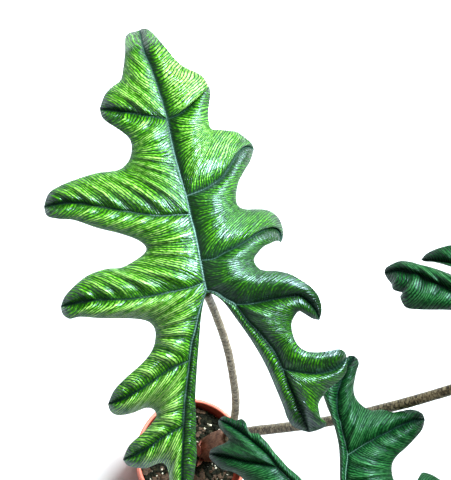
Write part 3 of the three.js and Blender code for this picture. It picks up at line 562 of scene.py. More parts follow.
light_skin = stalk_skin("mottled_stalk", rgb(58, 40, 26), rgb(104, 84, 60), rgb(162, 144, 112),
                        rgb(208, 194, 164))
dark_skin = stalk_skin("dark_mottled_stalk", rgb(44, 34, 20), rgb(78, 64, 42), rgb(124, 108, 78),
                       rgb(176, 162, 128))
for (node, (sizes, path)), skin in zip(STALKS.items(), (light_skin, dark_skin, dark_skin)):
    points, faces, along = stalk_surface(path, *sizes)
    stalk = mesh_object("stalk" + node[-2:], points, faces, {"along": along}, sharp=70)
    stalk.data.materials.append(skin)
    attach(stalk, "root")
    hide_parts(node)

# Leaf blades.
# Arrow-shaped blades cut into long lobes, with a midrib, two main basal veins and a rib in each lobe. The
# veins are sunk into the upper face and stand out below, and the flesh between them swells up in quilts
# crossed by fine ripples. The near leaf is young and bright; the other two are darker.

# The place that the leaves are seen from and the way of looking. Each leaf's plan lies square to that way.
EYE = np.array([-194.0, -114.0, 1015.0])
SIGHT = np.array([0.23, 0.3621, -0.9033])
SIGHT = SIGHT / np.linalg.norm(SIGHT)
ACROSS = np.cross(SIGHT, (0.0, 1.0, 0.0))
ACROSS = ACROSS / np.linalg.norm(ACROSS)
UPWARD = np.cross(ACROSS, SIGHT)

# Each leaf lies in its own plan, in mm: x to its right and y from the stalk's end to the apex. It has the
# place of the stalk's end, the plan's turn in degrees, and a form, which is the slope and square term of its
# droop to each side and the height that its quilts tend to. Painted shading is how much darker a sector is
# painted beside the vein and beyond, as painted shade where the blade turns from the light and painted light
# where a number is below zero. A lobe is its main vein, the number of that vein's point where its rib starts,
# the rib, and the edge from its tip to the next lobe's tip.
LEAF_A = {
    "at": (-78.5, 52, 513),
    "turn": 14.5,
    "form": {"front": (0.22, 0.0018), "back": (0.15, 0.0012), "left": (-0.06, 0.0005), "right": (1.0, 0.004),
             "back_right": (-0.25, 0.0012), "quilt": 9.0},
    # Painted shading of each sector, beside its vein and beyond: painted shade, and painted light where below
    # zero.
    "depth": {"apex": (0.1, 0.06), "l1": (0.12, 0.08), "l2": (0.1, 0.07), "l3": (0.08, 0.0),
              "l4": (0.08, -0.04), "l5": (0.08, -0.03), "left": (0.2, 0.3), "notch": (0.25, 0.22),
              "right": (0.2, 0.2), "r5": (0.26, 0.25), "r4": (0.34, 0.3), "r3": (0.38, 0.22),
              "r2": (0.36, 0.1), "r1": (0.34, 0.02)},
    "veins": {
        "midrib": [(0, 0), (0, 5), (1, 19), (2, 34.5), (2, 49), (2.5, 61), (2, 77), (2, 93.5), (3, 111.5),
                   (2.5, 125.5), (1.5, 142.5), (-0.5, 157.5), (0, 170.5)],
        "left": [(0, 0), (-7, -10.5), (-13, -22), (-18, -31), (-22, -41), (-27, -54), (-31.5, -66),
                 (-36, -80), (-40, -93.5), (-44, -107), (-47.5, -120.5), (-50, -133.5)],
        "right": [(0, 0), (5, -2.5), (10.5, -8.5), (15.5, -13.5), (20, -24.5), (26, -35.5), (32, -49),
                  (34.5, -61), (36, -72), (38, -83), (39.5, -94), (40.5, -104)],
    },
    "lobes": {
        "apex": ("midrib", None, [], [
            (-4, 170.5), (-7, 170.5), (-10, 168), (-12.5, 159.5), (-16, 150), (-19.5, 143), (-26, 140),
            (-32, 136)]),
        "l1": ("midrib", 8, [(-7, 116), (-19, 121.5), (-29, 125.5), (-37, 128.5)], [
            (-37, 123.5), (-34.5, 119), (-28, 112), (-23.5, 105), (-24, 98), (-28, 91.5), (-35.5, 88),
            (-49, 89.5), (-61.5, 89), (-73.5, 87.5), (-82, 84.5)]),
        "l2": ("midrib", 4, [
            (-7, 51), (-17, 53), (-28.5, 57.5), (-41, 63), (-54, 69), (-66.5, 74.5), (-77, 76.5),
            (-87, 77)], [
            (-86.5, 71), (-80.5, 67.5), (-70.5, 64), (-57.5, 55.5), (-44.5, 48.5), (-35, 42), (-31, 37),
            (-31.5, 33.5), (-37, 30.5), (-48.5, 27.5), (-58.5, 29), (-70.5, 28), (-81, 23.5),
            (-88.5, 18.5)]),
        "l3": ("midrib", 1, [
            (-9, 4), (-23, 4.5), (-35.5, 5), (-51, 7), (-65, 10.5), (-78.5, 12.5), (-92.5, 13)], [
            (-92.5, 8), (-89, 4), (-82, 3.5), (-70, -0.5), (-51.5, -5.5), (-42, -9.5), (-38.5, -14.5),
            (-39, -20.5), (-43, -28), (-51, -34.5), (-63.5, -41), (-73, -47)]),
        "l4": ("left", 4, [(-31, -42), (-41, -45), (-51, -49), (-61, -52), (-70, -54), (-79, -54.5)], [
            (-78.5, -59.5), (-74.5, -63), (-66, -64), (-56.5, -63), (-52, -65), (-51, -69), (-54.5, -73),
            (-62.5, -78), (-72.5, -83.5)]),
        "l5": ("left", 7, [(-47, -82.5), (-59, -87), (-69, -90), (-78.5, -91)], [
            (-76.5, -95.5), (-71, -98.5), (-65, -100), (-57.5, -99), (-53.5, -100.5), (-52.5, -106),
            (-53.5, -113.5), (-54.5, -121.5), (-53, -129.5)]),
        "left": ("left", None, [], [
            (-45, -129), (-39.5, -117), (-34.5, -105.5), (-32, -98.5), (-30, -88), (-27.5, -79.5),
            (-24.5, -66), (-18.5, -47), (-13, -31), (-8, -16.5), (-4, -7.5), (-1.5, -3)]),
        "notch": ("midrib", 0, [(0, -2)], [
            (3.5, -4), (8.5, -10.5), (13.5, -22.5), (19.5, -38.5), (24, -54.5), (26.5, -69.5), (28.5, -84),
            (29, -91), (31, -97), (36, -101.5)]),
        "right": ("right", None, [], [
            (45.5, -104), (51, -103), (52.5, -100.5), (50, -97), (50, -91.5), (51, -87.5), (55, -83.5),
            (61, -79.5), (66, -77.5), (71.5, -74), (74.5, -69)]),
        "r5": ("right", 7, [(44, -65.5), (54, -69), (64.5, -69.5), (71, -67), (75.5, -64)], [
            (75, -60), (72, -57.5), (67, -57), (58.5, -56), (51, -53), (47, -47.5), (46, -40), (47, -34),
            (50, -30), (53.5, -28), (57, -31), (60.5, -34.5)]),
        "r4": ("right", 3, [
            (24.5, -15.5), (35, -16), (45.5, -16.5), (55, -17.5), (60.5, -23), (63.5, -29.5),
            (64.5, -36.5)], [
            (67.5, -31), (68, -23.5), (66, -17), (61.5, -11), (54.5, -4), (47.5, 0), (37.5, 3.5), (34.5, 7),
            (34, 11), (36.5, 14), (42, 17.5), (47, 18.5), (50.5, 19)]),
        "r3": ("midrib", 2, [
            (8.5, 18), (16.5, 20), (24, 21.5), (33, 24.5), (42.5, 28), (50.5, 28.5), (54, 24),
            (53.5, 17.5)], [
            (56, 22), (56.5, 29.5), (54, 36), (48, 40.5), (37, 43.5), (33, 46.5), (32.5, 51), (34, 55.5),
            (37, 61.5), (41.5, 66.5), (47.5, 72.5)]),
        "r2": ("midrib", 5, [
            (13, 62), (21, 64), (27.5, 67), (35.5, 74.5), (42.5, 81), (47.5, 82), (51.5, 79)], [
            (51, 83), (48, 87.5), (43.5, 92.5), (35, 96), (29, 98), (28, 101.5), (29, 108.5), (31.5, 115),
            (33.5, 120)]),
        "r1": ("midrib", 8, [(10.5, 112.5), (17, 115.5), (22, 121), (28, 126), (34, 124.5)], [
            (33, 127.5), (31.5, 132), (27, 136.5), (21.5, 141), (17.5, 146.5), (13.5, 155), (9.5, 163.5),
            (6.5, 168.5), (4.5, 170.5), (2, 171)]),
    },
}

B_SIZE = 1.04


def scaled(points, by=B_SIZE, flip=1):
    """The points times a factor. flip -1 mirrors them to the leaf's other side."""
    return [(x * by * flip, y * by) for x, y in points]


a_lobes = LEAF_A["lobes"]
LEAF_B = {
    "at": (61.5, -94, 379.5),
    "turn": -157.6,
    "form": {"front": (0.2, 0.0018), "back": (0.12, 0.001), "left": (0.2, 0.0008), "right": (0.33, 0.001),
             "back_right": (0.33, 0.001), "quilt": 8.0},
    "depth": {},
    "veins": {
        "midrib": scaled([(0, 0), (0, 5), (0, 19), (0, 34.5), (0, 49), (0.5, 61), (1, 77), (1, 93.5),
                          (1, 111.5), (0.5, 125.5), (0, 142.5), (0, 157.5), (0, 170.5)]),
        "left": [(0, 0), (-5, -12.5), (-10, -25.5), (-15, -38), (-20.5, -50), (-26, -60), (-28, -71.5),
                 (-30, -83.5), (-32, -95), (-36, -104), (-42, -112.5), (-49.5, -120.5), (-59.5, -126.5)],
        "right": [(0, 0), (6, -17), (12, -36), (18, -51.5), (23, -63), (26.5, -71.5), (28.5, -80.5),
                  (32, -88), (36.5, -97), (41.5, -105.5), (47, -113.5), (53.5, -121.5)],
    },
    "lobes": {
        "apex": ("midrib", None, [], scaled(a_lobes["apex"][3])),
        "l1": ("midrib", 8, scaled(a_lobes["l1"][2]), scaled(a_lobes["l1"][3])),
        "l2": ("midrib", 4, scaled(a_lobes["l2"][2]), [
            (-89, 73), (-83.5, 69.5), (-73, 66.5), (-59.5, 57.5), (-46, 50), (-36.5, 43), (-32.5, 37.5),
            (-33, 32), (-38.5, 26.5), (-50, 21.5), (-62, 18), (-75, 13), (-86.5, 6.5), (-92.5, 1)]),
        "l3": ("midrib", 1, [
            (-11.5, 3.5), (-23.5, 3), (-36, 1), (-47, -1), (-59, -4), (-71.5, -6), (-83, -6.5),
            (-94, -4.5)], [
            (-90, -10.5), (-84, -15.5), (-79.5, -21.5), (-74, -26), (-71, -25.5), (-66.5, -20.5),
            (-58.5, -20), (-53, -23.5), (-51, -30), (-52.5, -37), (-55.5, -42), (-61, -45.5),
            (-69.5, -48.5), (-78.5, -52.5), (-85.5, -56.5)]),
        "l4": ("left", 5, [
            (-37, -62), (-47.5, -63.5), (-59, -64.5), (-71, -65.5), (-81.5, -65), (-90, -62.5)], [
            (-90, -67), (-87, -71), (-82, -74), (-75, -75.5), (-69, -77), (-63.5, -81.5), (-55, -84.5),
            (-50, -91), (-48, -98), (-49.5, -105), (-53.5, -111.5), (-57, -116.5), (-60, -120),
            (-60.5, -123.5)]),
        "left": ("left", None, [], [
            (-56.5, -128.5), (-53, -128), (-44, -125), (-34.5, -119.5), (-27, -112), (-25.5, -100.5),
            (-25.5, -92.5), (-24.5, -81), (-22.5, -69.5), (-18.5, -57.5), (-13.5, -45), (-8.5, -30.5),
            (-4, -16), (-1.5, -6.5)]),
        "notch": ("midrib", 0, [(0, -2.5)], [
            (2, -13.5), (6, -31), (13, -56), (19, -68.5), (22, -77), (24.5, -84), (26, -90.5), (28, -95.5),
            (30, -100.5), (35, -103), (36, -107), (35.5, -111.5), (37.5, -115.5), (41.5, -116),
            (44.5, -119), (49, -122.5)]),
        "right": ("right", None, [], [
            (55, -119), (55, -114), (53, -108.5), (52.5, -105), (56, -103.5), (62.5, -103.5),
            (67.5, -103)]),
        "r5": ("right", 5, [
            (32.5, -75.5), (40, -80.5), (48, -85.5), (55, -91.5), (62.5, -96.5), (70, -100.5)], [
            (71, -97.5), (69.5, -93.5), (67.5, -89), (64.5, -85), (59.5, -81.5), (56, -77.5), (53.5, -72.5),
            (53, -66.5), (56.5, -61.5), (64.5, -59), (71, -58.5)]),
        "r4": ("right", 2, [(25, -40.5), (38, -45), (51, -49), (63, -52.5), (75, -55.5)], [
            (75, -50), (67, -42.5), (52, -35), (43.5, -28), (39.5, -21), (39.5, -14), (43.5, -9.5),
            (52.5, -5), (72.5, 0), (84.5, 4), (92, 5), (95.5, 8.5)]),
        "r3": ("midrib", 2, scaled(a_lobes["l3"][2], flip=-1), scaled(a_lobes["l2"][3], flip=-1)[::-1]),
        "r2": ("midrib", 5, scaled(a_lobes["l2"][2], flip=-1), scaled(a_lobes["l1"][3], flip=-1)[::-1]),
        "r1": ("midrib", 8, scaled(a_lobes["l1"][2], flip=-1), scaled(a_lobes["apex"][3], flip=-1)[::-1]),
    },
}

LEAF_C = {
    "at": (189.5, 33.5, 535),
    "turn": -84.6,
    "form": {"front": (0.3, 0.0016), "back": (0.15, 0.0012), "left": (0.25, 0.0008), "right": (1.0, 0.004),
             "back_right": (0.6, 0.003), "quilt": 7.4},
    "depth": {},
    "veins": {
        **LEAF_A["veins"],
        "left": [(0, 0), (-6.5, -16.5), (-12.5, -33), (-19.5, -49), (-26, -63.5), (-32, -78.5), (-37.5, -90),
                 (-42.5, -100), (-49.5, -111), (-55.5, -122.5), (-57.5, -132), (-56.5, -141)],
    },
    "lobes": {
        **a_lobes,
        "l3": ("midrib", 1, a_lobes["l3"][2], [
            (-92.5, 8), (-89, 4), (-82, 3.5), (-70, -0.5), (-51.5, -5.5), (-40, -9.5), (-35, -15),
            (-35, -21), (-41, -28), (-51, -34.5), (-65, -41), (-77, -47)]),
        "l4": ("left", 2, [(-26, -37.5), (-40, -43), (-55, -49.5), (-70, -54), (-84, -56)], [
            (-82, -62), (-75, -65), (-66, -66), (-57, -66), (-54, -70), (-57, -76), (-64, -82), (-69, -88),
            (-71, -94), (-70.5, -99), (-69, -106), (-66.5, -112)]),
        "l5": ("left", 4, [(-38, -71), (-49, -80), (-58, -94), (-63, -115.5)], [
            (-61.5, -113), (-60.5, -107), (-58, -100), (-55, -93), (-51.5, -87.5), (-49, -86.5),
            (-48.5, -90), (-51.5, -96.5), (-54.5, -102.5), (-57.5, -109.5), (-60, -116.5), (-62.5, -123),
            (-63.5, -130), (-61.5, -136.5), (-59.5, -140)]),
        "left": ("left", None, [], [
            (-52.5, -139.5), (-48.5, -137), (-45, -136.5), (-43, -133), (-42, -130), (-39.5, -132),
            (-35.5, -131), (-32, -129), (-30.5, -125.5), (-29, -116), (-27.5, -101.5), (-24.5, -82.5),
            (-19.5, -62.5), (-12, -39.5), (-3.5, -15.5)]),
    },
}

VEIN_STEPS = 8
EDGE_STEPS = 24
SINUS_SHARE = 0.12
ROWS = 25
ROW_CROWDING = 1.5
LINE_BEND = 0.13
BEND_REACH = 45.0
BEND_TURN = 15.0
FOLD_LENGTH = 13.5
SHORT_FOLD_LENGTH = 7.9
FOLD_HEIGHT = 1.1
SHOULDER = 32.0
SHOULDER_ROUNDING = 7.0
ARCH_START = 14.0
APEX_START = 158.0
APEX_LENGTH = 14.0
APEX_DROP = 16.0
TIP_LENGTH = 28.0
TIP_DROP = 8.0
QUILT_SLOPE = 0.34
GROOVE_DEPTH = 1.1
GROOVE_WIDTH = 1.4
VEIN_HEIGHT = 0.5
VEIN_WIDTH = 0.6
CURL_DROP = 0.9
CURL_WIDTH = 2.2
FLESH = 0.65
RIB_HEIGHT = 2.2
THICK_VEIN_FROM = 90.0
# Painted shade beside every vein, and the distance in mm over which a sector's painted shading blends out.
VEIN_SHADING = 0.08
SHADING_REACH = 8.0


def eased(value):
    """0 below 0, 1 above 1 and level at both ends between: v squared times 3 - 2 v."""
    share = np.clip(value, 0, 1)
    return share ** 2 * (3 - 2 * share)


def vein_route(leaf, lobe):
    """The way from the stalk's end to a lobe's tip: a smooth main vein up to the rib's root, then the
    smooth rib. The notch, whose root is 0, has no vein of its own, only a point of the edge. Returns way,
    root and tip."""
    vein, root, rib, _ = lobe
    trunk = smooth_line(leaf["veins"][vein], VEIN_STEPS)
    if root is None:
        return trunk, 0, trunk[-1]
    if root == 0:
        return trunk[:1], 0, rib[0]
    own = smooth_line([leaf["veins"][vein][root], *rib], VEIN_STEPS)
    return np.concatenate([trunk[:root * VEIN_STEPS + 1], own[1:]]), root * VEIN_STEPS, own[-1]


def sector_lines(leaf, lobe, following):
    """The inner line of the sheet between two neighbouring ribs goes down one rib, along the main vein and
    up the next rib. The outer line is the edge between the two tips. Each rib runs with the edge on its own
    side of the sinus. Returns both, the run along the inner line, and the run at the middle of the main
    vein's stretch."""
    (one, own_one, tip_one), (two, own_two, tip_two) = vein_route(leaf, lobe), vein_route(leaf, following)
    shared = min(len(one), len(two))
    fork = int(np.cumprod((one[:shared] == two[:shared]).all(axis=1)).sum()) - 1
    inner = np.concatenate([one[fork:][::-1], two[fork + 1:]])
    turn_one = len(one) - 1 - max(fork, own_one)
    turn_two = len(inner) - len(two) + max(fork, own_two)
    edge = smooth_line([tip_one, *lobe[3], tip_two], EDGE_STEPS)
    edge_run = run_length(edge)
    middle = (inner[turn_one] + inner[turn_two]) / 2
    sinus = edge_run[np.argmin(np.linalg.norm(edge - middle, axis=1))] / edge_run[-1]
    run = run_length(inner)
    marks = [0, run[turn_one], run[turn_two], run[-1]]
    places = [0, sinus * (1 - SINUS_SHARE), sinus + (1 - sinus) * SINUS_SHARE, 1]
    if turn_one == turn_two:
        marks, places = [marks[0], marks[1], marks[3]], [0, sinus, 1]
    along_edge = np.interp(run, marks, places) * edge_run[-1]
    outer = np.stack([np.interp(along_edge, edge_run, edge[:, k]) for k in (0, 1)], axis=-1)
    return inner, outer, run, (run[turn_one] + run[turn_two]) / 2


def blade_sector(leaf, lobe, following):
    """Straight lines from the inner to the outer line, with rows that crowd towards the vein. The veinlets'
    run is the run along the inner line, bent away from the sector's middle halfway out. Its spread is a
    cell's area over the change of run across it. Folds are two sine waves of a wandering run, faded out at
    vein and edge, where the sheet is narrow, and to the right."""
    inner, outer, run, middle = sector_lines(leaf, lobe, following)
    share = (np.arange(ROWS) / (ROWS - 1)) ** ROW_CROWDING
    plan = inner[:, None] + (outer - inner)[:, None] * share[:, None]
    reach = np.linalg.norm(outer - inner, axis=-1)[:, None] + 0 * share
    from_one = run if lobe[1] != 0 else run[-1]
    from_two = run[-1] - run if following[1] != 0 else run[-1]
    outward = np.tanh((run - middle) / BEND_TURN)[:, None]
    run = run[:, None] + LINE_BEND * np.minimum(reach, BEND_REACH) * outward * 4 * share * (1 - share)
    down, across = np.gradient(plan, axis=(0, 1))
    area = np.abs(down[..., 0] * across[..., 1] - down[..., 1] * across[..., 0])
    run_down, run_across = np.gradient(run)
    rise = np.linalg.norm(run_down[..., None] * across - run_across[..., None] * down, axis=-1)
    x, y = plan[..., 0], plan[..., 1]
    wander = 2 * np.pi * (run + 4 * np.sin(x * 0.06 + 1.7) + 3 * np.sin(y * 0.045 + x * 0.03))
    waves = np.sin(wander / FOLD_LENGTH) + 0.4 * np.sin(wander / SHORT_FOLD_LENGTH + 1)
    fade = np.sin(np.pi * share ** 0.7) * np.clip(reach / 20, 0, 1) * np.clip(0.6 - x / 25, 0.25, 1)
    return {"plan": plan, "share": share + 0 * reach, "reach": reach, "away": reach * share,
            "run": run, "to_tip": np.minimum(from_one, from_two)[:, None] + 0 * share,
            "spread": np.clip(area / np.maximum(rise, 1e-6), 0.1, 4), "folds": waves * fade}


def droop(form, x, y):
    """How far the blade's arch lies below its plan: a slope and a square term along each half axis, faded
    in with distance from the stalk and midrib, and a quick fall of the last bit of the apex. To the sides
    the slope starts softly at a shoulder: width times log(1 + exp((distance - shoulder) / width)). The
    right side has another slope behind the stalk, and the two blend smoothly from 10 mm behind it to 28 mm
    before it."""
    v, u = np.abs(y), np.abs(x)
    side_fall = SHOULDER_ROUNDING * (np.log1p(np.exp((u - SHOULDER) / SHOULDER_ROUNDING))
                                     - np.log1p(np.exp(-SHOULDER / SHOULDER_ROUNDING)))
    along = np.where(y > 0, form["front"][0] * v + form["front"][1] * v ** 2,
                     form["back"][0] * v + form["back"][1] * v ** 2)
    share = eased((y + 10) / 38)
    slope, square = [share * form["right"][k] + (1 - share) * form["back_right"][k] for k in (0, 1)]
    aside = np.where(x > 0, slope * side_fall + square * u ** 2,
                     form["left"][0] * side_fall + form["left"][1] * u ** 2)
    arch = (along + aside) * (1 - np.exp(-(u + 0.5 * v) / ARCH_START))
    return -arch - APEX_DROP * eased((y - APEX_START) / APEX_LENGTH)


def blade_height(form, grid):
    """Droop, plus a swelling between vein and edge, less the fall of the tip, less a groove along the vein
    with the vein's round back in it, plus folds across the flanks, less a curl at the edge."""
    share, away, reach, to_tip = grid["share"], grid["away"], grid["reach"], grid["to_tip"]
    quilt = form["quilt"]
    swelling = quilt * (1 - np.exp(-QUILT_SLOPE * reach / quilt)) * np.sin(np.pi * share ** 1.05)
    tip_drop = TIP_DROP * np.clip(1 - to_tip / TIP_LENGTH, 0, 1) ** 2
    bulk = np.clip(to_tip / 14, 0, 1) * np.clip(to_tip / THICK_VEIN_FROM, 0.3, 1)
    groove = bulk * (GROOVE_DEPTH * np.exp(-(away / GROOVE_WIDTH) ** 2)
                     - VEIN_HEIGHT * np.exp(-(away / VEIN_WIDTH) ** 2))
    curl = CURL_DROP * np.exp(-((reach - away) / CURL_WIDTH) ** 2) * np.clip(reach / 10, 0, 1)
    arch = droop(form, grid["plan"][..., 0], grid["plan"][..., 1])
    return arch + swelling - tip_drop - groove + FOLD_HEIGHT * grid["folds"] - curl


def set_in_space(leaf, plan, height):
    """A plan point at a height goes to its place along the line of sight through it, so the plan's outline
    holds from above: eye + (point - eye) times (1 - height / the distance of the stalk's end along the
    sight)."""
    turn = np.radians(leaf["turn"])
    side = ACROSS * np.cos(turn) + UPWARD * np.sin(turn)
    tip = UPWARD * np.cos(turn) - ACROSS * np.sin(turn)
    offset = np.array(leaf["at"]) - EYE
    ray = offset + plan[..., :1] * side + plan[..., 1:] * tip
    return EYE + ray * (1 - height / (offset @ SIGHT))[..., None]


def averaged(values, joined):
    """Each value becomes the mean of all values at its joined point."""
    return (np.bincount(joined, values) / np.bincount(joined))[joined]


def blade_surface(leaf):
    """All sectors' upper faces, with the heights of points that sectors share averaged; the same points
    pushed down by the thickness as the lower face; and a wall along the edge. The thickness is the flesh
    plus a rounded rib below each vein, over the cosine between face and sight. The painted shading is one
    half, less the sector's own number of painted shade beside the vein, which blends into its number for the
    flesh beyond, plus a tenth of the folds: painted shade in their troughs and painted light on their crests."""
    lobes = list(leaf["lobes"].values())
    grids = [blade_sector(leaf, lobe, following) for lobe, following in zip(lobes, lobes[1:] + lobes[:1])]
    for name, grid in zip(leaf["lobes"], grids):
        # Painted shade beside the vein blends into the sector's painted shading beyond; the folds add painted
        # shade and light.
        beside, beyond = leaf["depth"].get(name, (VEIN_SHADING, 0))
        lightening = eased(grid["away"] / SHADING_REACH) * (beside - beyond)
        grid["depth"] = 0.5 - beside + lightening + 0.1 * grid["folds"]
        grid["height"] = blade_height(leaf["form"], grid)
    start = np.cumsum([0] + [grid["share"].size for grid in grids])
    faces = np.concatenate([grid_faces(len(grid["share"]), ROWS, at) for grid, at in zip(grids, start)])
    rims = [np.arange(len(grid["share"])) * ROWS + ROWS - 1 + at for grid, at in zip(grids, start)]
    rims = np.concatenate([np.stack([rim[:-1], rim[1:]], axis=1) for rim in rims])
    flat = {key: np.concatenate([grid[key].reshape(-1, *grid[key].shape[2:]) for grid in grids])
            for key in grids[0]}
    _, joined = np.unique(np.round(flat["plan"], 3), axis=0, return_inverse=True)
    joined = joined.reshape(-1)
    height = averaged(flat["height"], joined)
    top = set_in_space(leaf, flat["plan"], height)
    normal = np.cross(top[faces[:, 2]] - top[faces[:, 0]], top[faces[:, 3]] - top[faces[:, 1]])
    total = np.zeros((joined.max() + 1, 3))
    for corner in range(4):
        np.add.at(total, joined[faces[:, corner]], normal)
    facing = np.abs(total @ SIGHT) / np.maximum(np.linalg.norm(total, axis=1), 1e-9)
    bulk = np.clip(flat["to_tip"] / THICK_VEIN_FROM, 0.15, 1)
    rib = RIB_HEIGHT * bulk * np.exp(-(flat["away"] / (0.7 + 1.3 * bulk)) ** 2)
    thick = (FLESH + averaged(rib, joined)) / np.maximum(facing[joined], 0.3)
    bottom = set_in_space(leaf, flat["plan"], height - thick)
    below = rims + len(top)
    wall = np.stack([below[:, 0], below[:, 1], rims[:, 1], rims[:, 0]], axis=1)
    # The width map also carries the painted shading.
    maps = {"flow": (flat["run"] / 100, flat["away"] / 100), "spread": (flat["share"], flat["to_tip"] / 100),
            "width": (flat["spread"] / 10, flat["depth"])}
    maps = {name: np.tile(np.stack(pair, axis=-1), (2, 1)) for name, pair in maps.items()}
    return np.concatenate([top, bottom]), np.concatenate([faces, faces[:, ::-1] + len(top), wall]), maps


def grey(value):
    """A grey of this brightness."""
    return (value, value, value, 1)


def uv_pair(tree, name):
    """The sockets of a UV map's two values."""
    return add_node(tree, "SeparateXYZ", {0: add_node(tree, "UVMap", uv_map=name).outputs[0]}).outputs[:2]


def blade_finish(name, shade, mid, bright, pale, groove, back, gloss, roughness):
    """Green flesh, waxy on top. Raised ridges run from vein to edge between dark veinlets, 1.2 mm wide
    where the veinlets crowd and 3 mm where they spread, with a fine net of beads on them. The flesh is
    darkened by its sector's painted shading and towards each lobe's tip by painted shade. A vein lies in a
    strip of dark green that is partly its own colour and partly painted shade of its groove, and a main vein
    has a pale line along its back that is a painted highlight of its rounded top."""
    material, tree, shader, place = new_finish(name, roughness, **{
        "Specular IOR Level": gloss, "Specular Tint": (0.65, 0.85, 1.0, 1)})
    run, away = [math_node(tree, "MULTIPLY", value, 100.0) for value in uv_pair(tree, "flow")]
    share, to_tip = uv_pair(tree, "spread")
    spacing, depth = uv_pair(tree, "width")
    black, white = grey(0), grey(1)
    swirl, ripple = noise(tree, place, 40, 1, 0.5), noise(tree, place, 130, 3, 0.6)
    wander = weighted_sum(tree, run, (swirl, 7.0), (ripple, 2.4))

    def ridges(width):
        """White on ridges of this width in mm that run from vein to edge, and black on the lines between
        them."""
        border = add_node(tree, "TexVoronoi", {"W": math_node(tree, "DIVIDE", wander, width), "Scale": 1.0,
                                               "Randomness": 0.7},
                          voronoi_dimensions="1D", feature="DISTANCE_TO_EDGE").outputs["Distance"]
        return ramp(tree, border, (0.0, black), (0.1, grey(0.12)), (0.26, white))

    weave = mix(tree, ramp(tree, spacing, (0.055, black), (0.085, white)), ridges(3.0), ridges(1.9))
    weave = mix(tree, ramp(tree, spacing, (0.12, black), (0.19, white)), weave, ridges(1.2))
    net = add_node(tree, "CombineXYZ", {0: math_node(tree, "DIVIDE", wander, 1.3),
                                        1: math_node(tree, "DIVIDE", away, 2.6)}).outputs[0]
    beads = add_node(tree, "TexVoronoi", {"Vector": net, "Scale": 1.0},
                     voronoi_dimensions="2D").outputs["Distance"]

    patches = noise(tree, place, 26, 3, 0.5)
    flecks = noise(tree, place, 240, 3, 0.6)
    middle = ramp(tree, share, (0.0, black), (0.35, white), (0.8, white), (1.0, grey(0.4)))
    # Painted shade towards each lobe's drooping tip.
    painted_tip_shade = ramp(tree, to_tip, (0.08, white), (0.32, black))
    level = weighted_sum(tree, -0.51, (depth, 1.0), (patches, 0.2), (weave, 0.5), (flecks, 0.3),
                         (beads, -0.35), (middle, 0.12), (painted_tip_shade, -0.17))
    flesh = ramp(tree, level, (0.26, shade), (0.42, mid), (0.6, bright), (0.78, pale))
    off_vein = math_node(tree, "MULTIPLY", away, 0.25)
    # Each vein's strip of dark green: partly the vein's own colour, partly painted shade of its groove.
    gutter = ramp(tree, off_vein, (0.0, grey(0.8)), (0.24, grey(0.9)), (0.4, black))
    # A pale line along a main vein's back: painted highlight of its rounded top.
    main = math_node(tree, "MULTIPLY", ramp(tree, off_vein, (0.0, white), (0.05, white), (0.13, black)),
                     ramp(tree, to_tip, (0.4, black), (0.9, white)))
    relief = bump(tree, weave, 0.0003, Normal=bump(tree, patches, 0.003))
    coat(tree, shader, mix(tree, main, mix(tree, gutter, flesh, groove), back),
         bump(tree, beads, 0.00015, Normal=relief))
    dull = weighted_sum(tree, roughness + 0.16, (weave, -0.06), (gutter, 0.3), (depth, -0.2))
    tree.links.new(dull, shader.inputs["Roughness"])
    return material


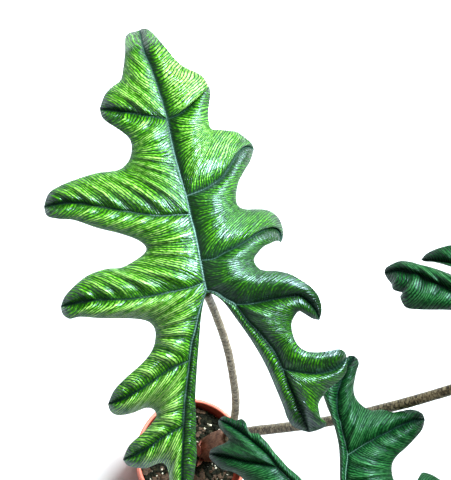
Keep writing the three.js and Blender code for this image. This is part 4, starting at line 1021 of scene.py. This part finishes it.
# back is the colour of the painted highlight along a main vein; groove is partly painted shade of the vein's
# groove.
bright_blade = blade_finish("bright_blade", rgb(12, 48, 2), rgb(34, 96, 2), rgb(80, 160, 14),
                            rgb(168, 222, 110), groove=rgb(2, 50, 24), back=rgb(120, 166, 150), gloss=0.9,
                            roughness=0.25)
dark_blade = blade_finish("dark_blade", rgb(0, 28, 8), rgb(4, 50, 16), rgb(14, 76, 28),
                          rgb(52, 112, 60), groove=rgb(2, 40, 24), back=rgb(110, 156, 130), gloss=0.3,
                          roughness=0.36)
for node, leaf, finish, slot in (("blade_a", LEAF_A, bright_blade, "blade_bright"),
                                 ("blade_b", LEAF_B, dark_blade, "blade_dark"),
                                 ("blade_c", LEAF_C, dark_blade, "blade_dark")):
    blade_points, blade_faces, blade_maps = blade_surface(leaf)
    blade = mesh_object("leaf" + node[-2:], blade_points, blade_faces, blade_maps, sharp=60)
    blade.data.materials.append(finish)
    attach(blade, "root")
    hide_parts(node)

# Floor, light and camera.
# A plain pale floor under the pot. A soft window stands at the upper right, a weaker one low behind it that
# gives the leaves their sheen, and a large far wall fills in from the left.

FLOOR_HALF = 4000
floor_points = [(x * FLOOR_HALF, y * FLOOR_HALF, 0) for x, y in ((-1, -1), (1, -1), (1, 1), (-1, 1))]
floor = mesh_object("floor", floor_points, [(0, 1, 2, 3)])
floor.data.materials.append(new_finish("pale_floor", 0.9, **{"Base Color": grey(0.9)})[0])

world = bpy.data.worlds.new("soft_room")
world.use_nodes = True
world.node_tree.nodes["Background"].inputs[0].default_value = grey(1)
world.node_tree.nodes["Background"].inputs[1].default_value = 0.05
bpy.context.scene.world = world


def window_light(name, place, target, size, power, colour=(1, 1, 1)):
    """A square area light at place that faces target, both in metres."""
    data = bpy.data.lights.new(name, "AREA")
    data.shape = "SQUARE"
    data.size = size
    data.energy = power
    data.color = colour
    light = bpy.data.objects.new(name, data)
    bpy.context.scene.collection.objects.link(light)
    light.location = place
    light.rotation_euler = (Vector(target) - Vector(place)).to_track_quat("-Z", "Y").to_euler()


window_light("window", (0.52, 0.62, 1.8), (-0.05, 0.05, 0.4), 0.8, 90, (0.88, 0.97, 1.0))
window_light("far_wall", (-1.4, -0.5, 1.3), (0, 0, 0.4), 1.8, 6)
window_light("back_window", (0.56, 1.35, 1.0), (-0.05, 0.05, 0.45), 0.8, 12, (0.85, 0.95, 1.0))
bpy.context.scene.view_settings.view_transform = "Standard"

camera_data = bpy.data.cameras.new("camera")
camera_data.lens = 63.75
camera_data.sensor_width = 36
camera = bpy.data.objects.new("camera", camera_data)
bpy.context.scene.collection.objects.link(camera)
axes = Matrix([ACROSS, UPWARD, -SIGHT]).transposed()
camera.matrix_world = Matrix.Translation(Vector(EYE) / 1000) @ axes.to_4x4()
bpy.context.scene.camera = camera
